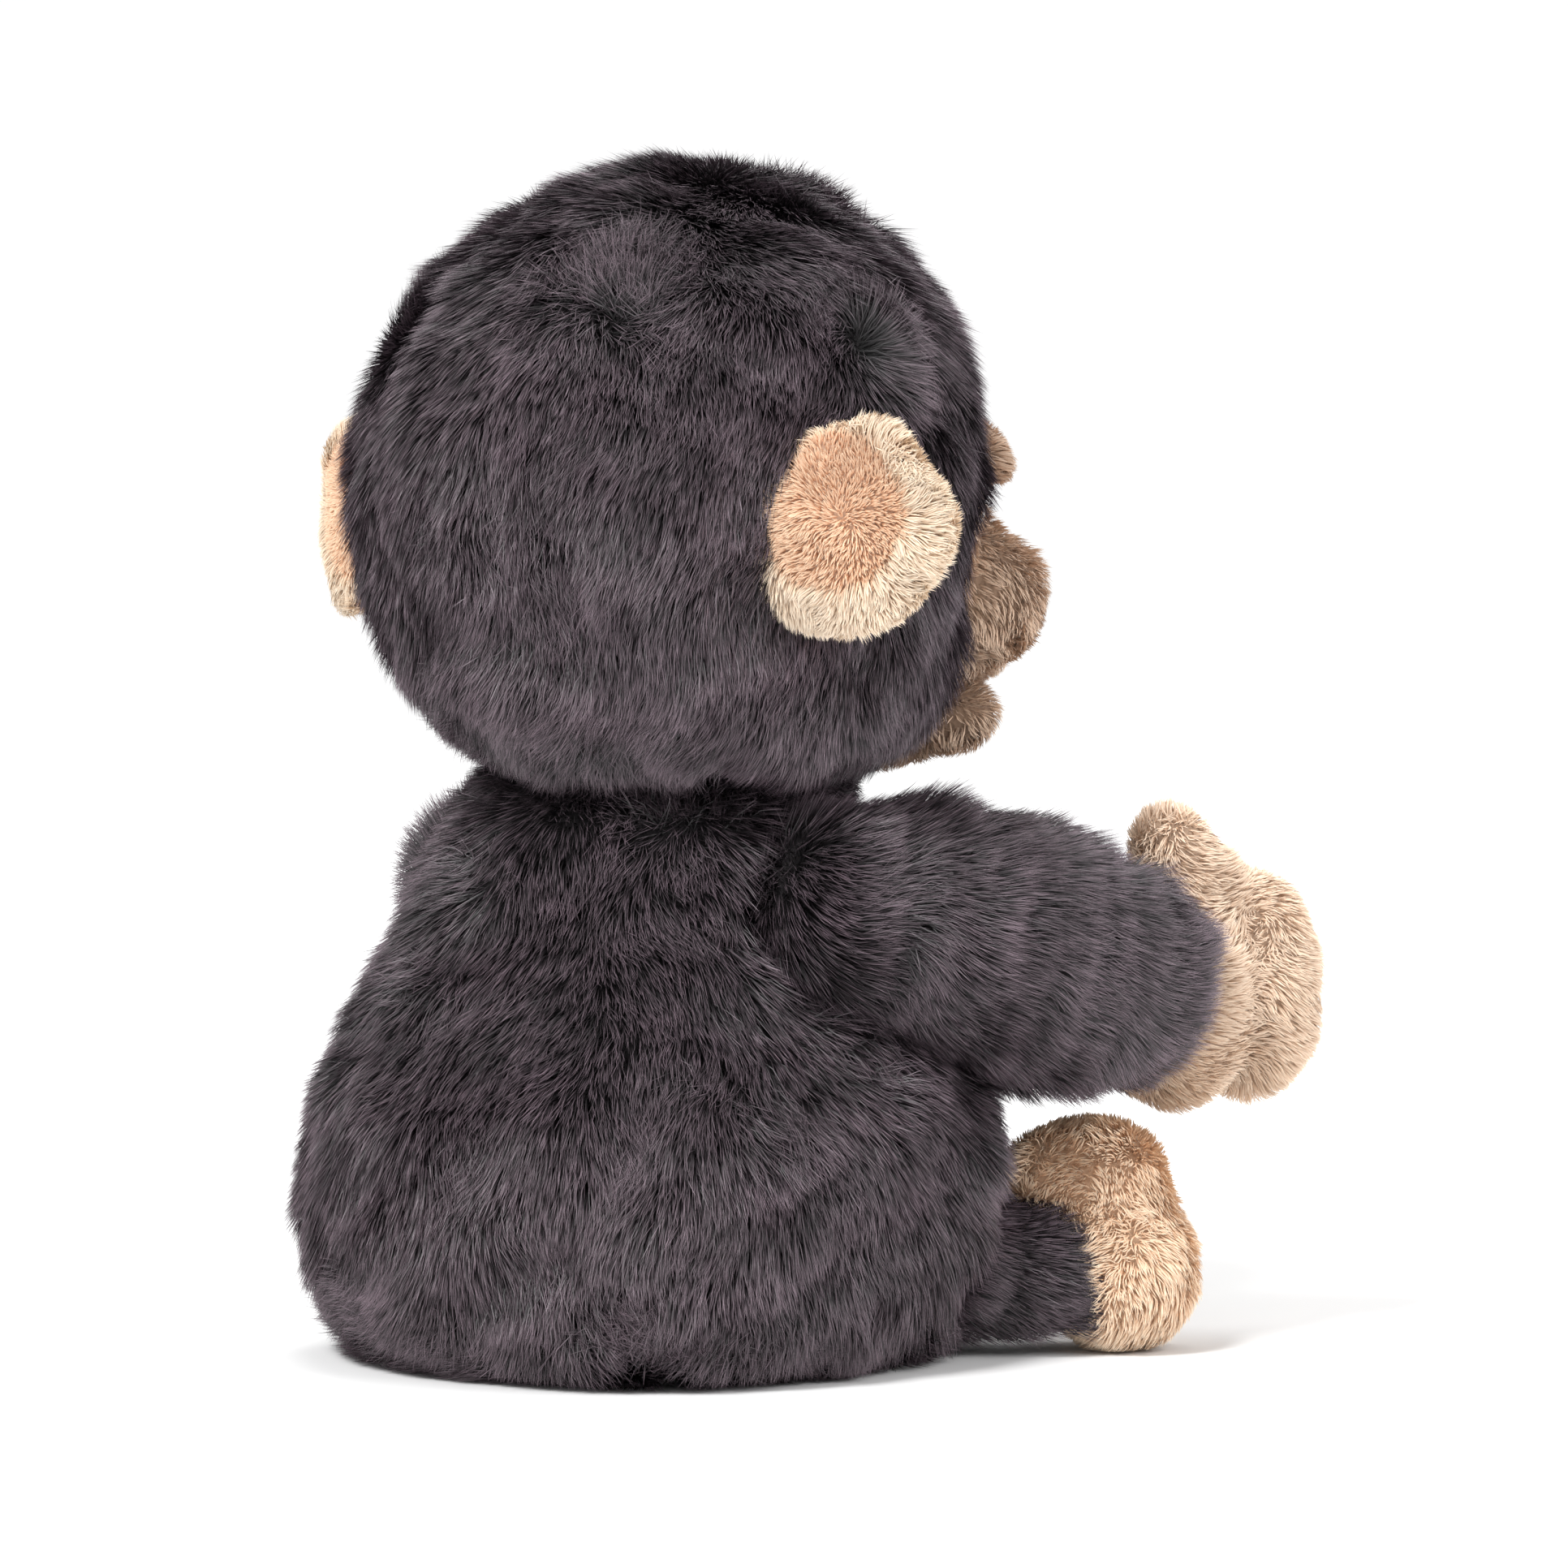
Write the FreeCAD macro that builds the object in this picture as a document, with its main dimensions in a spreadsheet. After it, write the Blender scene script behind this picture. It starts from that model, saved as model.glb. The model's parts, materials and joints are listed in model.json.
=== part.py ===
import FreeCAD, Part
import os
import Sketcher

# Seated plush ape: sewn pile-fabric panels over fibre filling, with a pellet pouch in the seat.
# Front is -Y, the object's left is +X, up is +Z, and the seat rests on Z = 0.  Sizes in mm.

doc = FreeCAD.newDocument("plush_ape")
os.makedirs("parts", exist_ok=True)

SIZES = [
    ("panel_thickness", 4.5, "backing fabric and long pressed pile"),
    ("plush_thickness", 3.2, "short-pile panels of the hands and feet"),
    ("clearance", 0.6, "gap between pieces that move"),
    ("big", 300.0, "size of the blocks that cut panels apart"),
    ("belly_radius", 67.0, "torso"),
    ("belly_height", 32.0, ""),
    ("corner_radius", 22.0, "rounded edge of the seat"),
    ("flank_angle", 22.0, "lean of the upper torso"),
    ("torso_height", 112.0, ""),
    ("seat_seam", 12.0, "height of the seat panel's seam"),
    ("pouch_radius", 28.0, "pellet pouch in the seat"),
    ("pouch_height", 17.0, ""),
    ("pouch_bottom", 7.0, ""),
    ("pouch_back", 10.0, ""),
    ("pouch_cloth", 1.2, ""),
    ("thread_width", 1.6, "stitching"),
    ("thread_raise", 0.6, ""),
    ("closing_bottom", 26.0, ""),
    ("closing_length", 36.0, ""),
    ("head_radius", 61.0, "head"),
    ("head_height", 162.0, ""),
    ("head_forward", 4.0, ""),
    ("gusset_half", 13.0, "strip over the crown"),
    ("face_radius", 40.0, "face panel opening"),
    ("face_drop", 9.0, ""),
    ("neck_cup", 3.8, "sewn neck ring"),
    ("neck_top", 107.0, ""),
    ("muzzle_wide", 35.0, "half sizes of the muzzle"),
    ("muzzle_tall", 20.0, ""),
    ("muzzle_deep", 25.0, ""),
    ("muzzle_forward", 57.0, ""),
    ("muzzle_height", 137.0, ""),
    ("chin_wide", 25.0, "half sizes of the lower jaw"),
    ("chin_tall", 10.0, ""),
    ("chin_deep", 13.5, ""),
    ("chin_forward", 52.0, ""),
    ("chin_height", 119.0, ""),
    ("mouth_height", 118.5, ""),
    ("nostril_side", 5.0, ""),
    ("nostril_height", 148.0, ""),
    ("nostril_radius", 2.6, ""),
    ("brow_ring", 59.0, "stuffed brow roll"),
    ("brow_radius", 6.5, ""),
    ("brow_height", 165.5, ""),
    ("brow_sweep", 70.0, ""),
    ("eye_radius", 5.5, "safety eye"),
    ("eye_yaw", 19.5, ""),
    ("eye_drop", 8.5, ""),
    ("shank_radius", 1.8, ""),
    ("shank_length", 10.0, ""),
    ("washer_radius", 6.0, ""),
    ("washer_thickness", 1.4, ""),
    ("ear_radius", 20.0, "ear"),
    ("ear_side", 62.5, ""),
    ("ear_forward", -14.5, ""),
    ("ear_height", 154.0, ""),
    ("ear_lean", 25.0, ""),
    ("ear_panel", 2.6, ""),
    ("ear_gap", 3.0, "ear root to head"),
    ("shoulder_side", 48.0, "arm"),
    ("shoulder_height", 83.0, ""),
    ("shoulder_radius", 20.0, ""),
    ("ring_thickness", 2.4, "armhole ring"),
    ("ring_reach", 10.0, ""),
    ("arm_out", 6.0, ""),
    ("arm_drop", 10.0, ""),
    ("arm_length", 78.0, ""),
    ("wrist_radius", 25.0, ""),
    ("hand_root", 17.0, "hand"),
    ("palm_radius", 21.0, ""),
    ("palm_reach", 14.0, ""),
    ("palm_drop", 3.0, ""),
    ("thumb_radius", 11.5, ""),
    ("thumb_reach", 12.0, ""),
    ("thumb_rise", 21.5, ""),
    ("hand_fan", 72.0, "half angle the hand fills past the cuff"),
    ("hip_side", 42.0, "leg"),
    ("hip_forward", 36.0, ""),
    ("hip_radius", 16.5, ""),
    ("leg_radius", 15.0, ""),
    ("leg_out", 37.0, ""),
    ("leg_inward", 8.0, "travel toward the other leg"),
    ("leg_outward", 30.0, "travel away from the other leg"),
    ("foot_reach", 30.0, "foot"),
    ("foot_wide", 18.0, ""),
    ("foot_deep", 13.0, ""),
    ("foot_tall", 21.5, ""),
]

sheet = doc.addObject("Spreadsheet::Sheet", "Sizes")
for row, (alias, value, note) in enumerate(SIZES, 1):
    sheet.set("A%d" % row, str(value))
    sheet.setAlias("A%d" % row, alias)
    sheet.set("B%d" % row, note)
doc.recompute()

nodes = []


def dims(text):
    """Put the sheet's name in front of each {alias} in an expression."""
    return text.replace("{", "Sizes.").replace("}", "")


def frame(x, y, z, turn="rotation(vector(0; 0; 1); 0)"):
    """Placement expression at a point, turned."""
    return "placement(vector(%s; %s; %s); %s)" % (x, y, z, turn)


def prim(kind, name, sizes, where):
    """A primitive whose sizes and place are bound to the sheet."""
    obj = doc.addObject("Part::" + kind, name)
    for prop, text in sizes.items():
        obj.setExpression(prop, dims(text))
    obj.setExpression("Placement", dims(where))
    return obj


def ball(name, radius, where):
    return prim("Sphere", name, {"Radius": radius}, where)


def fuse(name, *shapes):
    obj = doc.addObject("Part::MultiFuse", name)
    obj.Shapes = list(shapes)
    return obj


def common(name, *shapes):
    obj = doc.addObject("Part::MultiCommon", name)
    obj.Shapes = list(shapes)
    return obj


def cut(name, base, *tools):
    tool = tools[0]
    if len(tools) > 1:
        tool = fuse(name + "_tools", *tools)
    obj = doc.addObject("Part::Cut", name)
    obj.Base = base
    obj.Tool = tool
    return obj


def block(name, where, x0="-{big} / 2", y0="-{big} / 2", z0="-{big} / 2"):
    """A large block whose lower corner stands at (x0, y0, z0) of a frame."""
    size = {"Length": "{big}", "Width": "{big}", "Height": "{big}"}
    return prim("Box", name, size, where + " * " + frame(x0, y0, z0))


def node(obj, label):
    obj.Label = label
    nodes.append(obj)
    return obj


def mirrored(obj, label):
    """The same piece on the object's right side."""
    other = doc.addObject("Part::Mirroring", label + "_mirror")
    other.Source = obj
    other.Normal = (1, 0, 0)
    return node(other, label)


def pair(obj, label):
    """Name a left-side piece and add its right-side twin."""
    node(obj, label + "_l")
    mirrored(obj, label + "_r")


WORLD = frame("0", "0", "0")
HEAD = frame("0", "-{head_forward}", "{head_height}")


def pear(name, grow):
    """The torso's turned outline, grown or shrunk by an expression in mm."""
    sketch = doc.addObject("Sketcher::SketchObject", name + "_profile")
    sketch.Placement = FreeCAD.Placement(FreeCAD.Vector(), FreeCAD.Rotation(FreeCAD.Vector(1, 0, 0), 90))
    point = FreeCAD.Vector
    axis_z = point(0, 0, 1)
    corner = Part.Circle(point(43.9, 22, 0), axis_z, 22)
    belly = Part.Circle(point(0, 32, 0), axis_z, 67)
    floor = sketch.addGeometry(Part.LineSegment(point(0, 0, 0), point(43.9, 0, 0)))
    edge = sketch.addGeometry(Part.ArcOfCircle(corner, -1.571, -0.224))
    side = sketch.addGeometry(Part.ArcOfCircle(belly, -0.224, 0.384))
    flank = sketch.addGeometry(Part.LineSegment(point(62.1, 57.1, 0), point(39.9, 112, 0)))
    top = sketch.addGeometry(Part.LineSegment(point(39.9, 112, 0), point(0, 112, 0)))
    spine = sketch.addGeometry(Part.LineSegment(point(0, 112, 0), point(0, 0, 0)))
    rule = Sketcher.Constraint
    sketch.addConstraint(rule("Horizontal", floor))
    sketch.addConstraint(rule("Horizontal", top))
    sketch.addConstraint(rule("Vertical", spine))
    sketch.addConstraint(rule("Tangent", floor, 2, edge, 1))
    sketch.addConstraint(rule("Tangent", edge, 2, side, 1))
    sketch.addConstraint(rule("Tangent", side, 2, flank, 1))
    sketch.addConstraint(rule("Coincident", flank, 2, top, 1))
    sketch.addConstraint(rule("Coincident", top, 2, spine, 1))
    sketch.addConstraint(rule("Coincident", spine, 2, floor, 1))
    sketch.addConstraint(rule("PointOnObject", spine, 1, -2))
    sketch.addConstraint(rule("PointOnObject", side, 3, -2))
    bound = [
        (rule("Radius", side, 67.0), "{belly_radius} + " + grow),
        (rule("DistanceY", -1, 1, side, 3, 32.0), "{belly_height}"),
        (rule("Radius", edge, 22.0), "{corner_radius} + " + grow),
        (rule("DistanceY", -1, 1, edge, 3, 22.0), "{corner_radius}"),
        (rule("Angle", flank, 1.955), "90 deg + {flank_angle} * 1 deg"),
        (rule("DistanceY", -1, 1, top, 1, 112.0), "{torso_height} + " + grow),
    ]
    for constraint, text in bound:
        index = sketch.addConstraint(constraint)
        sketch.setExpression("Constraints[%d]" % index, dims(text))
    turned = doc.addObject("Part::Revolution", name)
    turned.Source = sketch
    turned.Axis = (0, 0, 1)
    turned.Base = (0, 0, 0)
    turned.Angle = 360
    turned.Solid = True
    return turned


# --- torso forms and the hollows left for the neck, shoulders and hips ---------------------------
torso_form = pear("torso_form", "0")
torso_lining = pear("torso_lining", "(0 - {panel_thickness})")
torso_near = pear("torso_near", "{clearance}")
torso_far = pear("torso_far", "({clearance} + {panel_thickness})")

SHOULDER = frame("{shoulder_side}", "0", "{shoulder_height}")
ARM_TURN = "rotation(vector(0; 0; 1); {arm_out}) * rotation(vector(1; 0; 0); 90 + {arm_drop})"
ARM = frame("{shoulder_side}", "0", "{shoulder_height}", ARM_TURN)
WRIST = ARM + " * " + frame("0", "0", "{arm_length}")
HIP = frame("{hip_side}", "-{hip_forward}", "{hip_radius}")


def leg_frame(swing):
    turn = "rotation(vector(0; 0; 1); {leg_out} + %s) * rotation(vector(1; 0; 0); 90)" % swing
    return frame("{hip_side}", "-{hip_forward}", "{hip_radius}", turn)


bowl = ball("bowl", "{head_radius} + {neck_cup} + 2 * {clearance}", HEAD)
socket = ball("socket", "{shoulder_radius} + {ring_thickness} + 2 * {clearance}", SHOULDER)
hip_room = ball("hip_room", "{hip_radius} + {clearance}", HIP)
room = {"Radius": "{leg_radius} + {clearance}", "Height": "{foot_reach}"}
leg_room_in = prim("Cylinder", "leg_room_in", room, leg_frame("(0 - {leg_inward})"))
leg_room_out = prim("Cylinder", "leg_room_out", room, leg_frame("{leg_outward}"))
fan = {"Radius": "{foot_reach}", "Height": "2 * ({leg_radius} + {clearance})",
       "Angle": "({leg_inward} + {leg_outward}) * 1 deg"}
fan_turn = "rotation(vector(0; 0; 1); {leg_out} - {leg_inward} - 90)"
leg_fan = prim("Cylinder", "leg_fan", fan, frame("{hip_side}", "-{hip_forward}",
               "{hip_radius} - {leg_radius} - {clearance}", fan_turn))
hollow_l = fuse("hollow_l", socket, hip_room, leg_room_in, leg_room_out, leg_fan)
hollow_r = doc.addObject("Part::Mirroring", "hollow_r")
hollow_r.Source = hollow_l
hollow_r.Normal = (1, 0, 0)

# --- torso: two back panels, a belly panel and a seat panel over fibre and a pellet pouch ---------
torso_shell = cut("torso_shell", torso_form, torso_lining, bowl, hollow_l, hollow_r)
front_half = block("front_half", WORLD, y0="-{big}")
above_seat = block("above_seat", WORLD, z0="{seat_seam}")
left_half = block("left_half", WORLD, x0="0")
node(cut("seat_cut", torso_shell, above_seat), "torso_seat")
node(common("belly_cut", torso_shell, above_seat, front_half), "torso_belly")
torso_back = cut("torso_back", common("upper_shell", torso_shell, above_seat), front_half)
pair(common("back_half_cut", torso_back, left_half), "torso_back")

POUCH = frame("0", "{pouch_back}", "{pouch_bottom}")
INNER_POUCH = frame("0", "{pouch_back}", "{pouch_bottom} + {pouch_cloth}")
pouch_form = prim("Cylinder", "pouch_form", {"Radius": "{pouch_radius}", "Height": "{pouch_height}"}, POUCH)
pellets = prim("Cylinder", "pellets", {"Radius": "{pouch_radius} - {pouch_cloth}",
               "Height": "{pouch_height} - 2 * {pouch_cloth}"}, INNER_POUCH)
node(cut("pouch_cut", pouch_form, pellets), "pellet_pouch")
node(pellets, "pellet_fill")
node(cut("torso_stuffing", torso_lining, bowl, hollow_l, hollow_r, pouch_form), "torso_filling")
seam = {"Length": "{thread_width}", "Width": "{big}", "Height": "{closing_length}"}
seam_slab = prim("Box", "seam_slab", seam, frame("-{thread_width} / 2", "0", "{closing_bottom}"))
node(common("closing_cut", cut("torso_skin", torso_near, torso_form), seam_slab), "closing_stitch")

# --- neck: a sewn ring cupped under the head -----------------------------------------------------
cup_out = ball("cup_out", "{head_radius} + {neck_cup} + {clearance}", HEAD)
cup_in = ball("cup_in", "{head_radius} + {clearance}", HEAD)
above_neck = block("above_neck", WORLD, z0="{neck_top}")
node(cut("neck_cut", cup_out, cup_in, above_neck), "neck_ring")

# --- head: two sides, a crown strip, the face, muzzle, jaw and brow -------------------------------
head_form = ball("head_form", "{head_radius}", HEAD)
head_lining = ball("head_lining", "{head_radius} - {panel_thickness}", HEAD)


def egg(name, part, grow):
    """Muzzle or jaw form: half sizes from the sheet, grown by an expression."""
    sizes = {"Radius1": "{%s_tall} + %s" % (part, grow), "Radius2": "{%s_wide} + %s" % (part, grow),
             "Radius3": "{%s_deep} + %s" % (part, grow)}
    return prim("Ellipsoid", name, sizes, frame("0", "-{%s_forward}" % part, "{%s_height}" % part))


muzzle_form = egg("muzzle_form", "muzzle", "0")
muzzle_lining = egg("muzzle_lining", "muzzle", "(0 - {panel_thickness})")
muzzle_skin = cut("muzzle_skin", egg("muzzle_grown", "muzzle", "{thread_raise}"), muzzle_form)
chin_form = egg("chin_form", "chin", "0")

eye_balls = []
eye_shanks = []
eye_washers = []
for side, sign in (("l", ""), ("r", "-")):
    turn = "rotation(vector(0; 0; 1); %s{eye_yaw}) * rotation(vector(1; 0; 0); 90 + {eye_drop})" % sign
    LOOK = frame("0", "-{head_forward}", "{head_height}", turn)
    eye_at = LOOK + " * " + frame("0", "0", "{head_radius} - 1")
    shank_at = LOOK + " * " + frame("0", "0", "{head_radius} - {shank_length}")
    back_at = LOOK + " * " + frame("0", "0", "{head_radius} - {panel_thickness} - {washer_thickness} - 0.5")
    dome = ball("eye_dome_" + side, "{eye_radius}", eye_at)
    shank = prim("Cylinder", "eye_shank_" + side,
                 {"Radius": "{shank_radius}", "Height": "{shank_length}"}, shank_at)
    washer = prim("Cylinder", "washer_disc_" + side,
                  {"Radius": "{washer_radius}", "Height": "{washer_thickness}"}, back_at)
    eye = node(fuse("eye_form_" + side, cut("eye_cap_" + side, dome, head_form), shank), "eye_" + side)
    node(cut("washer_cut_" + side, washer, shank), "eye_washer_" + side)
    eye_balls.append(eye)
    eye_washers.append(washer)

head_shell = cut("head_shell", head_form, head_lining)
FACE = frame("0", "0", "{head_height} - {face_drop}", "rotation(vector(1; 0; 0); 90)")
face_punch = prim("Cylinder", "face_punch", {"Radius": "{face_radius}", "Height": "{big}"}, FACE)
gusset_size = {"Length": "2 * {gusset_half}", "Width": "{big}", "Height": "{big}"}
gusset_slab = prim("Box", "gusset_slab", gusset_size, frame("-{gusset_half}", "-{big} / 2", "0"))
fur_shell = cut("fur_shell", head_shell, face_punch)
node(common("gusset_cut", fur_shell, gusset_slab), "head_gusset")
pair(common("head_side_cut", fur_shell, block("beyond_gusset", WORLD, x0="{gusset_half}")), "head_side")
node(cut("face_cut", common("face_cap", head_shell, face_punch), muzzle_form, *eye_balls), "face_panel")
node(cut("muzzle_cut", muzzle_form, muzzle_lining, head_lining, *eye_balls), "muzzle_panel")
node(cut("muzzle_fill_cut", muzzle_lining, head_lining, *eye_balls), "muzzle_filling")
node(cut("head_fill_cut", head_lining, *(eye_balls + eye_washers)), "head_filling")

mouth_slab = prim("Box", "mouth_slab", {"Length": "{big}", "Width": "{big}", "Height": "{thread_width}"},
                  frame("-{big} / 2", "-{big} - {muzzle_forward}", "{mouth_height}"))
mouth = node(common("mouth_cut", muzzle_skin, mouth_slab), "mouth_stitch")
node(cut("chin_cut", chin_form, muzzle_form, head_form, mouth), "chin_panel")
NOSTRIL = frame("{nostril_side}", "-{muzzle_forward}", "{nostril_height}", "rotation(vector(1; 0; 0); 90)")
nostril_punch = prim("Cylinder", "nostril_punch", {"Radius": "{nostril_radius}", "Height": "{big}"}, NOSTRIL)
pair(common("nostril_cut", muzzle_skin, nostril_punch), "nostril_stitch")
brow_sizes = {"Radius1": "{brow_ring}", "Radius2": "{brow_radius}", "Angle3": "{brow_sweep} * 1 deg"}
brow_turn = "rotation(vector(0; 0; 1); 0 - 90 - {brow_sweep} / 2)"
brow = prim("Torus", "brow_ring_form", brow_sizes, frame("0", "-{head_forward}", "{brow_height}", brow_turn))
node(cut("brow_cut", brow, head_form, muzzle_form, *eye_balls), "brow_roll")

# --- ears: a back and a front panel sewn flat together --------------------------------------------
ear_turn = "rotation(vector(0; 0; 1); 0 - {ear_lean}) * rotation(vector(1; 0; 0); 90)"
EAR = frame("{ear_side}", "-{ear_forward}", "{ear_height}", ear_turn)
head_room = ball("head_room", "{head_radius} + {ear_gap}", HEAD)
ear_disc = {"Radius": "{ear_radius}", "Height": "{ear_panel}"}
ear_front = prim("Cylinder", "ear_front_disc", ear_disc, EAR)
ear_back = prim("Cylinder", "ear_back_disc", ear_disc, EAR + " * " + frame("0", "0", "0 - {ear_panel}"))
pair(cut("ear_front_cut", ear_front, head_room), "ear_front")
pair(cut("ear_back_cut", ear_back, head_room), "ear_back")

# --- arms: armhole ring, two sleeve panels, filling, and the hand at the cuff ----------------------
ring_out = ball("ring_out", "{shoulder_radius} + {ring_thickness} + {clearance}", SHOULDER)
ring_in = ball("ring_in", "{shoulder_radius} + {clearance}", SHOULDER)
beyond_ring = block("beyond_ring", WORLD, x0="{shoulder_side} - {ring_reach}")
pair(cut("ring_cut", ring_out, ring_in, beyond_ring), "armhole_ring")

wrist_room = ball("wrist_room", "{hand_root} + {clearance}", WRIST)
arm_cone = prim("Cone", "arm_cone", {"Radius1": "{shoulder_radius}", "Radius2": "{wrist_radius}",
                "Height": "{arm_length}"}, ARM)
arm_core = prim("Cone", "arm_core", {"Radius1": "{shoulder_radius} - {panel_thickness}",
                "Radius2": "{wrist_radius} - {panel_thickness}",
                "Height": "{arm_length} - {panel_thickness}"}, ARM)
arm_form = fuse("arm_form", ball("arm_root", "{shoulder_radius}", SHOULDER),
                cut("arm_clear", arm_cone, torso_near))
arm_lining = fuse("arm_lining", ball("arm_root_core", "{shoulder_radius} - {panel_thickness}", SHOULDER),
                  cut("arm_core_clear", arm_core, torso_far))
sleeve = cut("sleeve", arm_form, arm_lining, wrist_room)
upper_arm = block("upper_arm", ARM, y0="0")
pair(common("sleeve_up_cut", sleeve, upper_arm), "sleeve_upper")
pair(cut("sleeve_low_cut", sleeve, upper_arm), "sleeve_lower")
pair(cut("arm_fill_cut", arm_lining, wrist_room), "arm_filling")


def hand(name, shrink):
    """Hand form: a ball in the cuff, a palm and a thumb, kept inside the fan past the cuff."""
    palm = ball(name + "_palm", "{palm_radius} - " + shrink,
                WRIST + " * " + frame("0", "0 - {palm_drop}", "{palm_reach}"))
    thumb = ball(name + "_thumb", "{thumb_radius} - " + shrink,
                 WRIST + " * " + frame("0", "{thumb_rise}", "{thumb_reach}"))
    wedge = prim("Cone", name + "_fan", {"Radius1": "0 mm", "Radius2": "{big} * tan({hand_fan}) / 4",
                 "Height": "{big} / 4"}, WRIST + " * " + frame("0", "0", shrink + " * 0.3"))
    lobes = common(name + "_lobes", fuse(name + "_mitt", palm, thumb), wedge)
    return fuse(name, ball(name + "_root", "{hand_root} - " + shrink, WRIST), lobes)


hand_form = hand("hand_form", "0")
hand_lining = hand("hand_lining", "{plush_thickness}")
hand_shell = cut("hand_shell", hand_form, hand_lining)
outer_arm = block("outer_arm", ARM, x0="0")
pair(common("hand_back_cut", hand_shell, outer_arm), "hand_back")
pair(cut("hand_palm_cut", hand_shell, outer_arm), "hand_palm")
pair(hand_lining, "hand_filling")

# --- legs: two panels, filling and an upright foot with its own top, sole and filling --------------
LEG = leg_frame("0")
FOOT = frame("{hip_side}", "-{hip_forward}", "{hip_radius}", "rotation(vector(0; 0; 1); {leg_out})")
FOOT = FOOT + " * " + frame("0", "0 - {foot_reach}", "{foot_tall} - {hip_radius}")


def leg(name, shrink, reach):
    sizes = {"Radius": "{leg_radius} - " + shrink, "Height": reach}
    return fuse(name, prim("Cylinder", name + "_tube", sizes, LEG),
                ball(name + "_root", "{hip_radius} - " + shrink, LEG))


def foot(name, shrink):
    sizes = {"Radius1": "{foot_tall} - " + shrink, "Radius2": "{foot_wide} - " + shrink,
             "Radius3": "{foot_deep} - " + shrink}
    return prim("Ellipsoid", name, sizes, FOOT)


leg_form = leg("leg_form", "0", "{foot_reach}")
leg_lining = leg("leg_lining", "{panel_thickness}", "{foot_reach} - {foot_deep} - {clearance}")
foot_form = foot("foot_form", "0")
foot_lining = foot("foot_lining", "{plush_thickness}")
leg_shell = cut("leg_shell", leg_form, leg_lining, foot_form)
upper_leg = block("upper_leg", HIP, z0="0")
pair(common("leg_up_cut", leg_shell, upper_leg), "leg_upper")
pair(cut("leg_low_cut", leg_shell, upper_leg), "leg_lower")
pair(leg_lining, "leg_filling")
foot_shell = cut("foot_shell", foot_form, foot_lining)
sole_side = block("sole_side", FOOT, y0="-{big}")
pair(cut("foot_top_cut", foot_shell, sole_side), "foot_top")
pair(common("foot_sole_cut", foot_shell, sole_side), "foot_sole")
pair(foot_lining, "foot_filling")

doc.recompute()

for obj in doc.Objects:
    if "Invalid" in obj.State or "Error" in obj.State:
        raise RuntimeError("%s did not rebuild: %s" % (obj.Name, obj.State))
for obj in nodes:
    if obj.Shape.isNull() or not obj.Shape.isValid() or not obj.Shape.Solids:
        raise RuntimeError("%s has no valid solid" % obj.Label)
    obj.Shape.exportStep("parts/%s.step" % obj.Label)
print("%d pieces" % len(nodes))
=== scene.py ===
import json
import math

import bmesh
import bpy
import numpy as np
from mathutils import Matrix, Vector, kdtree


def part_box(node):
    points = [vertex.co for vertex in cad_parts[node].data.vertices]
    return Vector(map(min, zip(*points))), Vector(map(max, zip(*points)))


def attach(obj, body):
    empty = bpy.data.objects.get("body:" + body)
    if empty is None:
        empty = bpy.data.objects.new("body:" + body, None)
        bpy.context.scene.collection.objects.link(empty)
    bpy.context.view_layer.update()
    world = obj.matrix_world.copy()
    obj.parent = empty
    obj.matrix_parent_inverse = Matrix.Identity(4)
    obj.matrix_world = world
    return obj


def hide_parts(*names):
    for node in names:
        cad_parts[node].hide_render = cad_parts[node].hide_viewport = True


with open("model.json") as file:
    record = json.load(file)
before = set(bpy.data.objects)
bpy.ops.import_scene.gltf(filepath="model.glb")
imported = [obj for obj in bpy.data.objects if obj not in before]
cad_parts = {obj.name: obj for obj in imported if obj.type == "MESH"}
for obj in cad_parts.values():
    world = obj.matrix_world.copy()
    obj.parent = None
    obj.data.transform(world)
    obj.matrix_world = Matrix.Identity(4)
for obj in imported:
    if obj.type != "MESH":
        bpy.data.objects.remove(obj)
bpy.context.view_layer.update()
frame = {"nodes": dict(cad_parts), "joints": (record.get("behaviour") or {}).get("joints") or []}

# --------------------------------------------------------------------------------------------------
# Torso: two back panels, a belly panel and a seat panel of long dark pile, sewn inside out, turned
# and stuffed.  The backing is a knit; the pile lies downwards, in tufts that part here and there.
# --------------------------------------------------------------------------------------------------

MM = 0.001
SIDES = (("l", 1.0), ("r", -1.0))
FLOOR_CLEAR = 0.4 * MM
PILE_DEPTH = 6.0 * MM
PILE_LENGTH = 8.8 * MM
PILE_WIDTH = 0.23 * MM


def middle(node):
    """Centre of a node's box, in metres."""
    low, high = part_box(node)
    return np.array((low + high) / 2)


def wavy(points, size, seed, rounds=5):
    """Smooth value between about -1 and 1 that wanders over `size` metres."""
    rng = np.random.default_rng(seed)
    total = np.zeros(len(points))
    for _ in range(rounds):
        way = rng.normal(size=3)
        way *= rng.uniform(0.6, 1.6) * 2 * math.pi / size / np.linalg.norm(way)
        total += np.sin(points @ way + rng.uniform(0, 2 * math.pi))
    return total / math.sqrt(rounds)


def wavy_vector(points, size, seed, rounds=5):
    """Smoothly wandering direction."""
    return np.stack([wavy(points, size, seed + 11 * k, rounds) for k in range(3)], axis=1)


def blend_forms(first, second, soften):
    """Smooth union of two distance fields."""
    mix = np.clip(0.5 + 0.5 * (second - first) / soften, 0, 1)
    return second * (1 - mix) + first * mix - soften * mix * (1 - mix)


def egg_field(points, centre, half):
    """Rough distance to an ellipsoid."""
    offset = (points - centre) / half
    length = np.linalg.norm(offset, axis=1) + 1e-9
    slope = np.linalg.norm(offset / half, axis=1) + 1e-9
    return length * (length - 1) / slope


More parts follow.
